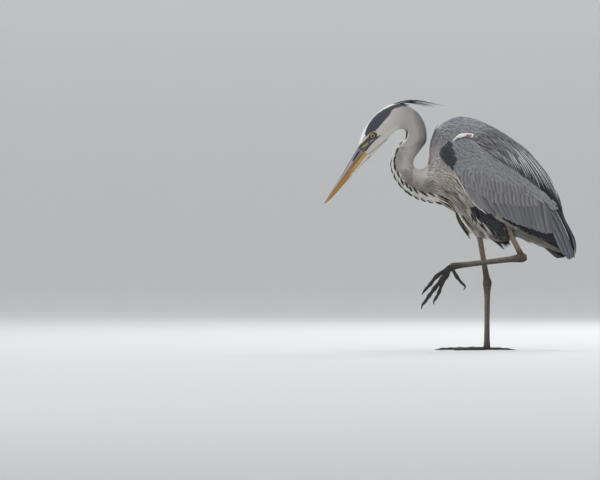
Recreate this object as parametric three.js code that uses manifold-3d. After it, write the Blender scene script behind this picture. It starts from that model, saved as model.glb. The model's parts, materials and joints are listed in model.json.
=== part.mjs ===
// A grey heron, life size, wading on one leg: the right leg stands on the floor, the left leg is lifted
// and folded, the neck is drawn into an S and the bill points down and forward.
// Millimetres. +Z is up, the heron faces -X, and its left side is -Y. The origin is the middle of the
// standing foot's sole, at floor level.
import * as THREE from "three";
import { mergeVertices } from "three/addons/utils/BufferGeometryUtils.js";
import Module from "manifold-3d";

const wasm = await Module();
wasm.setup();

// ---------------------------------------------------------------- driving dimensions

const GAP = 0.3; // clearance between neighbouring pieces
const BODY_AT = [-103, 0, 429]; // where the body axis meets the shoulder
const BODY_PITCH = 42.3; // degrees that the body axis dips towards the tail
// Each layer's ends along the body axis, and how long its rounded ends are.
const TRUNK = { front: -50, nose: 24, end: 312, taper: 26 };
const MANTLE = { front: -42, nose: 26, end: 263, taper: 62 };
const WING = { front: -8, nose: 34, end: 299, taper: 26 };
const FLIGHT = { front: 176, nose: 30, end: 373, taper: 40 };
const TAIL = { front: 244, end: 354, taper: 22, rise: 13 };
const FEATHERS = 7; // how deep the folded wings and the mantle lie over the trunk

const EYE = { radius: 7.4, at: [-251.9, 11.6, 470.8] };
const MOUTH = [-270.6, 432.3, -357.5, 321.9]; // the gape and the bill's tip, side on

const TOE_SPREAD = 37; // degrees between the middle toe and each side toe
const SIDES = { left: -1, right: 1 };

// ---------------------------------------------------------------- helpers

const radians = THREE.MathUtils.degToRad;
const vector = (p) => new THREE.Vector3(...p);

// A smooth function through [x, value] pairs, flat beyond its ends.
function through(pairs) {
  const last = pairs.length - 1;
  const slope = (i) => {
    const a = pairs[Math.max(0, i - 1)];
    const b = pairs[Math.min(last, i + 1)];
    return (b[1] - a[1]) / (b[0] - a[0]);
  };
  return (x) => {
    if (x <= pairs[0][0]) return pairs[0][1];
    if (x >= pairs[last][0]) return pairs[last][1];
    const i = pairs.findIndex((p) => p[0] > x) - 1;
    const [x0, y0] = pairs[i];
    const [x1, y1] = pairs[i + 1];
    const h = x1 - x0;
    const t = (x - x0) / h;
    const s = 1 - t;
    const level = y0 * s * s * (1 + 2 * t) + y1 * t * t * (3 - 2 * t);
    return level + h * t * s * (slope(i) * s - slope(i + 1) * t);
  };
}

// n + 1 values from a to b, even or drawn towards both ends.
function steps(a, b, n, crowd = 0) {
  return Array.from({ length: n + 1 }, (_, i) => {
    return a + (b - a) * (i / n - crowd * Math.sin((2 * Math.PI * i) / n));
  });
}

// How far a piece with rounded ends has opened at s, from 0 to 1.
function opened(s, { front, nose, end, taper }) {
  const share = (x) => Math.sqrt(1 - Math.min(1, Math.max(0, x)) ** 2);
  return share(1 - (s - front) / nose) * share(1 - (end - s) / taper);
}

// Raises a sine or cosine to a power without losing its sign, which squares or pinches an oval.
function bend(value, power) {
  return Math.sign(value) * Math.abs(value) ** power;
}

// A closed surface through rings of points, each end closed with a fan, and its faces turned outwards.
function loft(rings) {
  const sides = rings[0].length;
  const points = rings.flat();
  const faces = [];
  for (let r = 0; r < rings.length - 1; r++) {
    for (let k = 0; k < sides; k++) {
      const a = r * sides + k;
      const b = r * sides + ((k + 1) % sides);
      faces.push([a, b, b + sides], [a, b + sides, a + sides]);
    }
  }
  for (const [ring, first] of [[rings[0], 0], [rings.at(-1), (rings.length - 1) * sides]]) {
    const middle = ring.reduce((sum, p) => sum.add(p), new THREE.Vector3()).divideScalar(sides);
    const m = points.push(middle) - 1;
    for (let k = 0; k < sides; k++) {
      const pair = [first + k, first + ((k + 1) % sides)];
      faces.push(first ? [m, ...pair] : [m, pair[1], pair[0]]);
    }
  }
  const volume = faces.reduce((sum, [a, b, c]) => {
    return sum + points[a].dot(points[b].clone().cross(points[c]));
  }, 0);
  const geometry = new THREE.BufferGeometry().setFromPoints(points);
  geometry.setIndex(faces.flatMap(([a, b, c]) => (volume < 0 ? [a, c, b] : [a, b, c])));
  geometry.computeVertexNormals();
  return geometry;
}

// An oval ring round a point, with half sizes up and side along the two directions given.
function oval(centre, upDir, sideDir, up, side, sides, turn = 0) {
  return Array.from({ length: sides }, (_, k) => {
    const angle = (2 * Math.PI * (k + turn)) / sides;
    return centre
      .clone()
      .addScaledVector(upDir, up * Math.sin(angle))
      .addScaledVector(sideDir, side * Math.cos(angle));
  });
}

function curveThrough(points) {
  return new THREE.CatmullRomCurve3(points.map(vector), false, "centripetal");
}

// A tube of oval rings along a curve. depth and width are its half sizes at t from 0 to 1: the depth
// lies in the heron's side view, the width across it.
function tube(curve, depth, width, { rings, sides }) {
  const across = new THREE.Vector3(0, 1, 0);
  return loft(
    steps(0, 1, rings).map((t) => {
      const along = curve.getTangent(t);
      const up = across.clone().cross(along).normalize();
      const side = along.clone().cross(up).normalize();
      return oval(curve.getPoint(t), up, side, depth(t), width(t), sides);
    }),
  );
}

// Rings between the two sides of an outline. Each station holds x and z on one side, x and z on the other
// and the half width. The rings can be asked for between stations too.
function outlined(stations) {
  const last = stations.length - 1;
  const sides = [0, 2].map((k) => curveThrough(stations.map((row) => [row[k], 0, row[k + 1]])));
  const width = through(stations.map((row, i) => [i, row[4]]));
  return (i, count) => {
    const [top, bottom] = sides.map((side) => side.getPoint(i / last));
    const centre = top.clone().lerp(bottom, 0.5);
    const up = top.clone().sub(bottom).divideScalar(2);
    return oval(centre, up, new THREE.Vector3(0, 1, 0), 1, width(i), count, 0.5);
  };
}

function bareCopy(geometry) {
  const bare = new THREE.BufferGeometry();
  bare.setAttribute("position", geometry.getAttribute("position").clone());
  bare.setIndex(geometry.index.clone());
  return mergeVertices(bare, 1e-3);
}

// The same surface pushed outwards, which is what its neighbours are cut with. Every corner moves until it
// clears all the faces round it.
function swollen(geometry, by = GAP) {
  const copy = bareCopy(geometry);
  const position = copy.getAttribute("position");
  const corners = Array.from({ length: position.count }, (_, i) => {
    return new THREE.Vector3().fromBufferAttribute(position, i);
  });
  const moves = corners.map(() => new THREE.Vector3());
  const faces = [];
  for (let i = 0; i < copy.index.count; i += 3) {
    const ids = [0, 1, 2].map((k) => copy.index.getX(i + k));
    const normal = new THREE.Triangle(...ids.map((id) => corners[id])).getNormal(new THREE.Vector3());
    faces.push([ids, normal]);
  }
  for (let pass = 0; pass < 12; pass++) {
    for (const [ids, normal] of faces) {
      for (const id of ids) {
        moves[id].addScaledVector(normal, Math.max(0, by - normal.dot(moves[id])));
      }
    }
  }
  corners.forEach((corner, i) => {
    corner.add(moves[i].clampLength(0, 3 * by));
    position.setXYZ(i, corner.x, corner.y, corner.z);
  });
  return copy;
}

function solidOf(geometry) {
  const bare = bareCopy(geometry);
  return new wasm.Manifold(
    new wasm.Mesh({
      numProp: 3,
      vertProperties: bare.attributes.position.array,
      triVerts: new Uint32Array(bare.index.array),
    }),
  );
}

function geometryOf(solid) {
  const mesh = solid.getMesh();
  const points = new Float32Array(mesh.vertProperties);
  const geometry = new THREE.BufferGeometry();
  geometry.setAttribute("position", new THREE.BufferAttribute(points, 3));
  geometry.setIndex(new THREE.BufferAttribute(new Uint32Array(mesh.triVerts), 1));
  geometry.computeVertexNormals();
  return geometry;
}

// The first shape less the others, each with its clearance. Crumbs that the cut leaves are dropped.
function without(geometry, ...neighbours) {
  const cut = neighbours.reduce((solid, tool) => {
    return solid.subtract(solidOf(swollen(tool)));
  }, solidOf(geometry));
  const bodies = cut.simplify(GAP / 3).decompose();
  return geometryOf(bodies.sort((a, b) => b.volume() - a.volume())[0]);
}

function joined(...geometries) {
  return geometryOf(geometries.map(solidOf).reduce((sum, solid) => sum.add(solid)));
}

const COLOURS = {
  slate: [0x7f828c, 0.85],
  pearl: [0xb4ada8, 0.85],
  crown: [0xd9d6d0, 0.85],
  ink: [0x25282f, 0.8],
  cream: [0xbdb2a0, 0.9],
  flight: [0x3a3d45, 0.7],
  horn: [0xb98a3e, 0.45],
  culmen: [0x7b6a55, 0.45],
  iris: [0xc9b24a, 0.15],
  shank: [0x6f6350, 0.65],
  claw: [0x2b2725, 0.4],
};

const heron = new THREE.Group();
heron.name = "grey_heron";

function piece(name, colour, geometry) {
  const [color, roughness] = COLOURS[colour];
  const material = new THREE.MeshStandardMaterial({ color, roughness, metalness: 0 });
  const mesh = new THREE.Mesh(geometry, material);
  mesh.name = name;
  heron.add(mesh);
}

// ---------------------------------------------------------------- the body's envelope

// The body frame runs along the back: +X towards the tail, +Z out of the back, the origin at the shoulder.
const bodyFrame = new THREE.Matrix4().makeRotationY(radians(BODY_PITCH)).setPosition(...BODY_AT);

// Along the body axis (s): the height of the back and of the belly over it, and the half width.
const backAt = through([
  [-50, 47], [-49, 56], [-43, 69], [-32, 84], [-16, 99], [3, 111], [36, 123],
  [60, 129], [86, 133.5], [113, 136.5], [142, 137], [177, 131.5], [203, 126], [237, 115],
  [266, 100], [292, 81], [316, 71], [339, 62], [353, 53], [362, 43], [373, 29],
]);
const bellyAt = through([
  [-50, 45], [-48, 30], [-44, 18], [-36, 4], [-15, -22], [0, -46], [15, -74],
  [36, -86], [60, -84], [86, -78], [113, -73], [142, -69], [177, -66], [203, -62],
  [220, -52], [237, -32], [252, -19], [278, -9], [316, 0], [339, 4], [353, 8], [373, 27],
]);
const widthAt = through([
  [-50, 22], [-43, 34], [-30, 44], [-10, 53], [15, 59], [50, 63], [88, 65], [132, 63],
  [176, 57], [220, 48], [253, 40], [286, 33], [319, 27], [352, 18], [373, 9],
]);
const middleAt = (s) => (backAt(s) + bellyAt(s)) / 2;
const heightAt = (s) => (backAt(s) - bellyAt(s)) / 2;

// The point on the envelope at s, at an angle from the side (0) to the ridge of the back (90 degrees),
// off millimetres outside it. side is -1 for the left and +1 for the right.
function onBody(s, angle, off, side) {
  return new THREE.Vector3(
    s,
    side * (widthAt(s) + off) * Math.cos(angle),
    middleAt(s) + (heightAt(s) + off) * Math.sin(angle),
  ).applyMatrix4(bodyFrame);
}

// The angle at which the envelope at s reaches the given height over the body axis.
function angleAt(s, height) {
  return Math.asin(THREE.MathUtils.clamp((height - middleAt(s)) / heightAt(s), -1, 1));
}

// A layer of feathers lying on the envelope, lens shaped in section. low and high give its edges' angles
// at s, inner and outer how far its faces lie outside the envelope.
function layer(limits, low, high, inner, outer, side, rings, across, blunt = 0.06) {
  return loft(
    steps(limits.front, limits.end, rings, 0.05).map((s) => {
      const ends = Math.max(blunt, opened(s, limits));
      const [a, b] = [low(s), high(s)];
      const half = ((b - a) / 2) * ends;
      return Array.from({ length: 2 * across }, (_, k) => {
        const turn = (Math.PI * (k + 0.5)) / across;
        const lens = bend(Math.sin(turn), 0.5) * (0.3 + 0.7 * ends);
        const off = (outer(s) + inner(s)) / 2 + ((outer(s) - inner(s)) / 2) * lens;
        return onBody(s, (a + b) / 2 + half * Math.cos(turn), off, side);
      });
    }),
  );
}

// ---------------------------------------------------------------- trunk, wings and tail

// The folded wing's coverts and secondaries, over the body's side: its lower and upper edge.
const wingLow = through([
  [-8, 12], [1, 1], [20, -4], [43, -9], [72, -15], [114, -21], [150, -22], [175, -20],
  [188, -9], [221, 2], [243, 10], [265, 18], [299, 32],
]);
const wingHigh = through([
  [-8, 26], [0, 39], [9, 56], [26, 67], [56, 70], [100, 77], [148, 82], [205, 86],
  [240, 88], [271, 69], [292, 50], [299, 38],
]);
const wingOuter = through([[-8, 3], [20, 7], [120, 8], [230, 6], [299, 4]]);

// The long flight feathers below and behind the secondaries, up to the ridge where the wings meet.
const flightLow = through([
  [176, -24], [196, -10], [235, 1], [282, 15], [329, 28], [350, 30], [373, 28],
]);
const flightHigh = through([
  [176, 10], [210, 70], [250, 108], [266, 99], [292, 80.6], [316, 70.7], [339, 61.7],
  [353, 52.8], [373, 29],
]);

// The mantle and the long shoulder plumes, which lie over the back like a saddle, from side to side.
const mantleLow = through([
  [-42, 44], [-20, 46], [0, 44], [20, 62], [60, 71], [100, 77], [150, 82], [205, 86], [263, 92],
]);

// A layer's edges as angles round the envelope.
const edge = (height) => (s) => Math.min(radians(88), angleAt(s, height(s)));
const acrossBack = (height) => (s) => Math.PI - angleAt(s, height(s));

const layShallow = () => -FEATHERS - 2;

function wingShape(side) {
  return layer(WING, edge(wingLow), edge(wingHigh), layShallow, wingOuter, side, 12, 6);
}

function flightShape(side) {
  return layer(FLIGHT, edge(flightLow), edge(flightHigh), () => -FEATHERS, () => 0, side, 8, 5);
}

// Room for the wing right through the layers under it, so that they end cleanly at its edge.
function wingRoom(side) {
  return layer(WING, edge(wingLow), edge(wingHigh), () => -30, () => 28, side, 12, 6);
}

function mantleShape() {
  const [low, high] = [edge(mantleLow), acrossBack(mantleLow)];
  return layer(MANTLE, low, high, layShallow, () => 0.6, 1, 11, 8, 0.1);
}

// The trunk lies under the layers, so it is thinner where they cover it.
function trunkOff(s, angle) {
  const covered = Math.min(angleAt(s, wingLow(s)), angleAt(s, flightLow(s)));
  const up = THREE.MathUtils.smoothstep(angle, covered, covered + 0.3);
  return -FEATHERS * 0.7 * up * THREE.MathUtils.smoothstep(s, TRUNK.front, TRUNK.front + 24);
}

function trunkShape() {
  return loft(
    steps(TRUNK.front + 0.6, TRUNK.end - 0.6, 15, 0.03).map((s) => {
      const open = opened(s, TRUNK);
      const middle = onBody(s, 0, 0, 0);
      return Array.from({ length: 18 }, (_, k) => {
        const angle = (2 * Math.PI * k) / 18 - Math.PI / 2;
        const height = angle > Math.PI / 2 ? Math.PI - angle : angle;
        return onBody(s, angle, trunkOff(s, height), 1).lerp(middle, 1 - open);
      });
    }),
  );
}

// The tail is a shallow roof of feathers behind the rump, under the wing tips.
const tailHalf = through([[244, 22], [300, 28], [354, 26]]);
const tailPeak = through([[244, 13], [300, 15], [354, 17]]);
const tailThick = through([[244, 3.5], [300, 3], [352, 1.2]]);
function tailShape() {
  return loft(
    steps(TAIL.front, TAIL.end, 6).map((s) => {
      const ends = 0.35 + 0.65 * opened(s, { ...TAIL, nose: 1 });
      return Array.from({ length: 12 }, (_, k) => {
        const turn = (Math.PI * (k + 0.5)) / 6;
        const y = Math.cos(turn);
        const z = tailPeak(s) - TAIL.rise * y * y * ends + tailThick(s) * bend(Math.sin(turn), 0.6);
        return new THREE.Vector3(s, tailHalf(s) * ends * y, z).applyMatrix4(bodyFrame);
      });
    }),
  );
}

// ---------------------------------------------------------------- head and neck

// Stations from the bill's base over the head and down the neck to the breast. Side on, each is a line
// between two points of the outline: x and z on the crown's side, x and z on the throat's side, then the
// half width. HEAD_END and so on are the stations where one piece gives way to the next.
const NECK = [
  [-284.9, 444.4, -260.7, 420.9, 9.5],
  [-280.5, 462.0, -250.8, 427.9, 12.5],
  [-272.8, 481.8, -239.8, 438.9, 15.5],
  [-260.7, 500.9, -228.1, 451.4, 18],
  [-246.4, 517.0, -216.7, 464.6, 19.5],
  [-228.8, 531.7, -205.7, 476.3, 19.5],
  [-209.0, 541.6, -194.7, 483.6, 19],
  [-189.2, 543.0, -184.8, 484.9, 18.5],
  [-169.4, 535.7, -177.8, 479.2, 18],
  [-151.8, 523.6, -175.6, 473.0, 18],
  [-138.6, 505.3, -177.3, 466.4, 18],
  [-132.0, 484.0, -181.5, 460.2, 18],
  [-131.3, 464.2, -189.6, 455.0, 18.5],
  [-138.2, 449.9, -198.4, 447.5, 19],
  [-147.4, 436.7, -205.5, 433.4, 19.5],
  [-156.2, 424.6, -208.6, 415.8, 20],
  [-159.9, 414.7, -208.3, 399.3, 20.5],
  [-159.3, 407.0, -204.2, 383.9, 21.5],
  [-154.0, 400.8, -195.8, 366.7, 23.5],
  [-145.2, 399.1, -182.2, 352.0, 26.5],
  [-134.2, 403.7, -163.9, 339.2, 31],
  [-123.2, 418.0, -144.1, 331.5, 37],
  [-107.8, 435.6, -123.2, 325.2, 43],
  [-88.0, 446.6, -101.2, 321.6, 49],
  [-63.8, 451.0, -83.6, 316.8, 52],
];
const HEAD_END = 7;
const UPPER_END = 12;
const MIDDLE_END = 16;
const LOWER_END = 20;
const neckPairs = outlined(NECK);

// The stretch of head or neck between two stations, with flat ends. Neighbouring stretches leave a thin gap.
function neckStretch(first, last, sides = 16) {
  const start = first > 0 ? first + 0.03 : 0;
  const stations = steps(first, last, last - first).map((i) => Math.max(start, i));
  return loft(stations.map((i) => neckPairs(i, sides)));
}

function eyeball(side) {
  const [x, y, z] = EYE.at;
  return new THREE.SphereGeometry(EYE.radius, 12, 8).rotateX(Math.PI / 2).translate(x, side * y, z);
}

// The bill's stations, like the neck's, from its base to its tip.
const BILL = [
  [-284.9, 443.7, -260.7, 421.7, 9.3],
  [-301.4, 415.8, -280.5, 401.1, 7.2],
  [-323.4, 378.4, -309.5, 369.6, 4.9],
  [-345.4, 343.2, -338.8, 337.0, 2.4],
  [-357.9, 322.5, -356.6, 321.4, 0.7],
];
const billPairs = outlined(BILL);
const billShape = () => loft(steps(0, BILL.length - 1, 10).map((i) => billPairs(i, 12)));

// The half of the bill above (side 1) or below (side -1) the mouth line.
function mandible(side) {
  const [x0, z0, x1, z1] = MOUTH;
  const slab = new THREE.BoxGeometry(400, 60, 60).translate(0, 0, side * (30 + GAP / 2));
  slab.rotateY(Math.atan2(z1 - z0, x0 - x1)).translate(x0, 0, z0);
  return geometryOf(solidOf(billShape()).intersect(solidOf(slab)));
}

// The chin's feathers run forward under the lower mandible.
function chinShape() {
  const line = curveThrough([
    [-250, 0, 440], [-264.5, 0, 420.2], [-277.9, 0, 408.1], [-289.4, 0, 396.5],
  ]);
  const half = through([[0, 9], [0.35, 6.5], [0.7, 3.6], [1, 1]]);
  return tube(line, half, half, { rings: 5, sides: 10 });
}

// The loose fold of feathers in the crook where the neck turns up out of the breast.
function foldShape() {
  const ball = new THREE.SphereGeometry(1, 16, 9).rotateX(Math.PI / 2).scale(19, 22, 15);
  return ball.translate(-141, 0, 387);
}

// Two long plumes sweep back from the nape, the right one shorter and lower.
const CREST = {
  left: [
    [-206.8, -2.4, 541.3], [-180.4, -2.6, 548.2], [-158.4, -3, 549.6],
    [-136.4, -3.6, 546.7], [-112.2, -4, 541.2], [-88, -4.4, 536.1],
  ],
  right: [
    [-203, 2.4, 540.6], [-180, 2.6, 545.6], [-165, 3, 546.4],
    [-138.6, 3.6, 542.2], [-107.8, 4, 533.5],
  ],
};
const crestDepth = through([[0, 3], [0.3, 2.7], [0.7, 1.4], [1, 0.5]]);
const crestWidth = through([[0, 2], [0.7, 1], [1, 0.4]]);
function crestShape(points) {
  return tube(curveThrough(points), crestDepth, crestWidth, { rings: 8, sides: 5 });
}

// The long breast plumes hang from the foot of the neck, in front of the belly. Their stations are like
// the neck's.
const PLUMES = [
  [-96.8, 332.2, -52.8, 343.2, 34],
  [-77.0, 310.2, -41.8, 314.6, 27],
  [-61.6, 281.6, -30.8, 283.8, 17],
  [-48.4, 258.5, -30.8, 261.8, 8],
  [-37.4, 243.1, -33.0, 244.2, 1.5],
];
const plumePairs = outlined(PLUMES);
const plumeShape = () => loft(steps(0, PLUMES.length - 1, 8).map((i) => plumePairs(i, 12)));

// ---------------------------------------------------------------- legs

const LEGS = {
  left: {
    side: -1,
    standing: false,
    thigh: [[-11, -28, 326], [6, -34, 292], [25, -38, 267], [45, -39, 253]],
    thighDepth: through([[0, 44], [0.35, 37], [0.7, 22], [1, 8]]),
    thighWidth: through([[0, 22], [0.35, 20], [0.7, 14], [1, 7]]),
    knee: [41, -39, 273],
    ankle: [77, -40, 203],
    foot: [-80, -36, 184],
  },
  right: {
    side: 1,
    standing: true,
    thigh: [[-31, 28, 316], [-25, 26, 290], [-18, 23, 262], [-14, 21, 246]],
    thighDepth: through([[0, 34], [0.35, 25], [0.7, 15], [1, 7.5]]),
    thighWidth: through([[0, 20], [0.35, 18], [0.7, 12], [1, 7]]),
    knee: [-19, 24, 272],
    ankle: [1.1, 6, 150],
    foot: [0, 0, -1],
  },
};
function thighShape(leg) {
  return tube(curveThrough(leg.thigh), leg.thighDepth, leg.thighWidth, { rings: 7, sides: 12 });
}

const shinDepth = through([[0, 6.5], [0.6, 6], [0.86, 6.6], [1, 8.4]]);
const shinWidth = through([[0, 6], [0.6, 5.2], [0.86, 6], [1, 7.4]]);
function shinShape(leg) {
  return tube(curveThrough([leg.knee, leg.ankle]), shinDepth, shinWidth, { rings: 6, sides: 9 });
}

// The tarsus starts over the ankle's knob, runs straight, and widens again where the toes meet.
const tarsusDepth = through([
  [0, 5.5], [0.03, 8.6], [0.075, 10], [0.13, 8.8], [0.22, 6.8], [0.5, 6], [0.85, 6.4], [0.95, 7.6], [1, 7],
]);
const tarsusWidth = through([
  [0, 5], [0.03, 7], [0.075, 8], [0.13, 7.2], [0.22, 5.4], [0.5, 4.8], [0.85, 5.6], [0.95, 7.4], [1, 6.6],
]);

function tarsusShape(leg) {
  const top = vector(leg.ankle).lerp(vector(leg.foot), -0.06).toArray();
  return onFloor(tube(curveThrough([top, leg.foot]), tarsusDepth, tarsusWidth, { rings: 12, sides: 10 }));
}

// Whatever would reach under the floor ends flat on it.
function onFloor(geometry) {
  const position = geometry.getAttribute("position");
  for (let i = 0; i < position.count; i++) position.setZ(i, Math.max(0, position.getZ(i)));
  return geometry;
}

// Toes: the length without the claw, the half thickness at the root, the share of each bone, the claw's
// length, the angle in plan on the standing foot, and each bone's dip in degrees, the claw's two last.
const TOES = {
  middle: {
    length: 96, root: 5.2, bones: [0.34, 0.28, 0.22, 0.16], claw: 19, yaw: 0,
    dip: { left: [52, 49, 58, 60, 50, 78], right: [0, 0, 0, 0, 6, 14] },
  },
  inner: {
    length: 76, root: 4.8, bones: [0.5, 0.3, 0.2], claw: 16, yaw: TOE_SPREAD,
    dip: { left: [41, 42, 47, 50, 60], right: [0, 0, 0, 6, 14] },
  },
  outer: {
    length: 78, root: 4.8, bones: [0.3, 0.25, 0.25, 0.2], claw: 16, yaw: -TOE_SPREAD,
    dip: { left: [54, 60, 72, 63, 55, 92], right: [0, 0, 0, 0, 6, 14] },
  },
  hind: {
    length: 44, root: 4.6, bones: [0.6, 0.4], claw: 20, yaw: 180,
    dip: { left: [60, 52, 45, 112], right: [0, 0, 8, 16] },
  },
};
const LIFTED_SPREAD = 0.34; // how much of the spread the lifted foot keeps
const TOE_TAPER = 0.34; // how much thinner a toe is at its end

// The points at a toe's joints, from its root to the claw's tip. The standing foot's toes lie on the floor.
function toeJoints(leg, toe) {
  const { standing, side } = leg;
  const spread = standing || toe.yaw === 180 ? 1 : LIFTED_SPREAD;
  const yaw = radians(toe.yaw * spread);
  const at = vector(leg.foot);
  const laid = (share) => 0.6 * toe.root * (1 - TOE_TAPER * share);
  if (standing) at.z = laid(0);
  const points = [at.clone()];
  const lengths = [...toe.bones.map((share) => share * toe.length), toe.claw / 2, toe.claw / 2];
  lengths.forEach((length, i) => {
    const dip = radians(toe.dip[standing ? "right" : "left"][i]);
    at.x -= length * Math.cos(dip) * Math.cos(yaw);
    at.y -= length * Math.cos(dip) * Math.sin(yaw) * side;
    at.z -= length * Math.sin(dip);
    if (standing && i < toe.bones.length) at.z = laid((i + 1) / toe.bones.length);
    if (standing) at.z = Math.max(at.z, 0.6);
    points.push(at.clone());
  });
  return points;
}

// A tube for toes, which point any way in plan. On the standing foot they lie flat on the floor. Each toe
// bends in one upright plane, so the direction across it stays as it is at the root.
function toeTube(points, half, rings, sides, tall) {
  const line = curveThrough(points.map((p) => p.toArray()));
  const start = line.getTangent(0);
  const side = new THREE.Vector3(-start.y, start.x, 0).normalize();
  const shape = loft(
    steps(0, 1, rings).map((t) => {
      const up = line.getTangent(t).cross(side).normalize();
      return oval(line.getPoint(t), up, side, half(t) * tall, half(t), sides, 0.5);
    }),
  );
  return onFloor(shape);
}

// Half thickness along a toe: a little thicker at every joint, thinner in between.
function toeHalf(toe) {
  const halfAt = (t, i) => toe.root * (1 - TOE_TAPER * t) * (i % 2 ? 0.86 : 1);
  return through(steps(0, 1, 2 * toe.bones.length).map((t, i) => [t, halfAt(t, i)]));
}

function toeShape(leg, toe) {
  const joints = toeJoints(leg, toe).slice(0, toe.bones.length + 1);
  return toeTube(joints, toeHalf(toe), 2 * toe.bones.length, 8, 0.94);
}

function clawShape(leg, toe) {
  const joints = toeJoints(leg, toe).slice(toe.bones.length);
  const root = toe.root * 0.58;
  return toeTube(joints, through([[0, root], [0.5, root * 0.62], [1, 0.45]]), 4, 6, 1.15);
}

// ---------------------------------------------------------------- assembly

const bill = billShape();
const eyes = { left: eyeball(-1), right: eyeball(1) };
const wings = { left: wingShape(-1), right: wingShape(1) };
const flights = { left: flightShape(-1), right: flightShape(1) };
const layers = [...Object.values(wings), ...Object.values(flights)];
const mantle = mantleShape();
const tail = tailShape();
const headAndNeck = neckStretch(0, LOWER_END);
const trunk = joined(trunkShape(), neckStretch(LOWER_END, 24));
const headShape = joined(neckStretch(0, HEAD_END), chinShape());

piece("head", "crown", without(headShape, eyes.left, eyes.right, bill));
piece("bill_upper", "culmen", mandible(1));
piece("bill_lower", "horn", mandible(-1));
piece("eye_left", "iris", eyes.left);
piece("eye_right", "iris", eyes.right);
for (const [name, plume] of Object.entries(CREST)) {
  piece(`crest_${name}`, "ink", without(crestShape(plume), headAndNeck));
}
piece("neck_upper", "pearl", neckStretch(HEAD_END, UPPER_END));
piece("neck_middle", "pearl", neckStretch(UPPER_END, MIDDLE_END));
piece("neck_lower", "pearl", neckStretch(MIDDLE_END, LOWER_END));
piece("neck_fold", "pearl", without(foldShape(), headAndNeck, trunk));

piece("trunk", "cream", without(trunk, mantle, ...layers, tail, headAndNeck));
piece("breast_plumes", "cream", without(plumeShape(), trunk));
piece("mantle", "slate", mantle);
piece("tail", "slate", without(tail, ...layers));
for (const [name, side] of Object.entries(SIDES)) {
  const flight = without(flights[name], wings[name], wingRoom(side), mantle);
  piece(`wing_${name}`, "slate", without(wings[name], mantle));
  piece(`primaries_${name}`, "flight", flight);
}

for (const [name, leg] of Object.entries(LEGS)) {
  const thigh = thighShape(leg);
  const tarsus = tarsusShape(leg);
  const taken = [tarsus];
  piece(`thigh_${name}`, "ink", without(thigh, trunk, ...layers, plumeShape()));
  piece(`shin_${name}`, "shank", without(shinShape(leg), tarsus, thigh, trunk));
  piece(`tarsus_${name}`, "shank", tarsus);
  for (const [toeName, toe] of Object.entries(TOES)) {
    const shape = toeShape(leg, toe);
    piece(`toe_${name}_${toeName}`, "shank", without(shape, ...taken));
    piece(`claw_${name}_${toeName}`, "claw", without(clawShape(leg, toe), shape));
    taken.push(shape);
  }
}

export default heron;
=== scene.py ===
import json
import math

import bmesh
import bpy
import numpy as np
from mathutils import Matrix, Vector
from mathutils.bvhtree import BVHTree

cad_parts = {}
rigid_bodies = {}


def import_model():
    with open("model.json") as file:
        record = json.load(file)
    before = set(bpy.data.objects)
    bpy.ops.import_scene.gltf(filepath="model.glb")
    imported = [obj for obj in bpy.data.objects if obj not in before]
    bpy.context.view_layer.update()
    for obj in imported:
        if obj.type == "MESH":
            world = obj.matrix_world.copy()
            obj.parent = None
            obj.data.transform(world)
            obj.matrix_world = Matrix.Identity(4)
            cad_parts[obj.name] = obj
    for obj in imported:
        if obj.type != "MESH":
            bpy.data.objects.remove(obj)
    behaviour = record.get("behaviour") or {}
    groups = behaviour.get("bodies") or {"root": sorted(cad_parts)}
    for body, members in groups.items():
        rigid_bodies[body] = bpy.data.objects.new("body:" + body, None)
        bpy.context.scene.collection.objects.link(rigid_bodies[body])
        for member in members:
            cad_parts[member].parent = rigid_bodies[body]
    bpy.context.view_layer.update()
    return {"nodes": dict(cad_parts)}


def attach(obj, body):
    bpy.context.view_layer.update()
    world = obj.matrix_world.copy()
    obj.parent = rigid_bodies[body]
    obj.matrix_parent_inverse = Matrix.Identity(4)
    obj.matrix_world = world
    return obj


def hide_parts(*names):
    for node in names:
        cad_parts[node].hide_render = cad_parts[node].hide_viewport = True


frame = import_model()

# Grey heron, life size. Tables are in millimetres, meshes in metres. The heron faces -X, left side -Y.

mm = 0.001
tiny = 1e-9
sides = {"left": -1, "right": 1}


def tone(red, green, blue):  # a display colour as a linear one
    parts = np.array([red, green, blue], float) / 255
    return np.where(parts < 0.04045, parts / 12.92, ((parts + 0.055) / 1.055) ** 2.4)


def smoothTable(pairs):  # a smooth function through (x, value) pairs, flat past its ends
    xs, ys = np.array(pairs, float).T
    slopes = np.zeros(len(xs))
    slopes[1:-1] = (ys[2:] - ys[:-2]) / (xs[2:] - xs[:-2])
    slopes[0], slopes[-1] = (ys[1] - ys[0]) / (xs[1] - xs[0]), (ys[-1] - ys[-2]) / (xs[-1] - xs[-2])

    def value(x):
        x = np.clip(x, xs[0], xs[-1])
        i = np.clip(np.searchsorted(xs, x, "right") - 1, 0, len(xs) - 2)
        h = xs[i + 1] - xs[i]
        t = (x - xs[i]) / h
        s = 1 - t
        level = ys[i] * s * s * (1 + 2 * t) + ys[i + 1] * t * t * (3 - 2 * t)
        return level + h * t * s * (slopes[i] * s - slopes[i + 1] * t)

    return value


def curveTable(rows):  # like smoothTable, for rows of (x, value, value, ...)
    columns = [smoothTable([(row[0], row[k]) for row in rows]) for k in range(1, len(rows[0]))]
    return lambda x: np.stack([column(x) for column in columns], axis=-1)


def ease(x, low, high):
    t = np.clip((x - low) / (high - low), 0, 1)
    return t * t * (3 - 2 * t)


def fullTurn(count):  # angles all round, in radians
    return np.linspace(0, 2 * math.pi, count, endpoint=False)


def unit(v):
    return v / np.maximum(np.linalg.norm(v, axis=-1, keepdims=True), 1e-12)


def blend(a, b, share):
    return a + (b - a) * np.asarray(share)[..., None]


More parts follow.
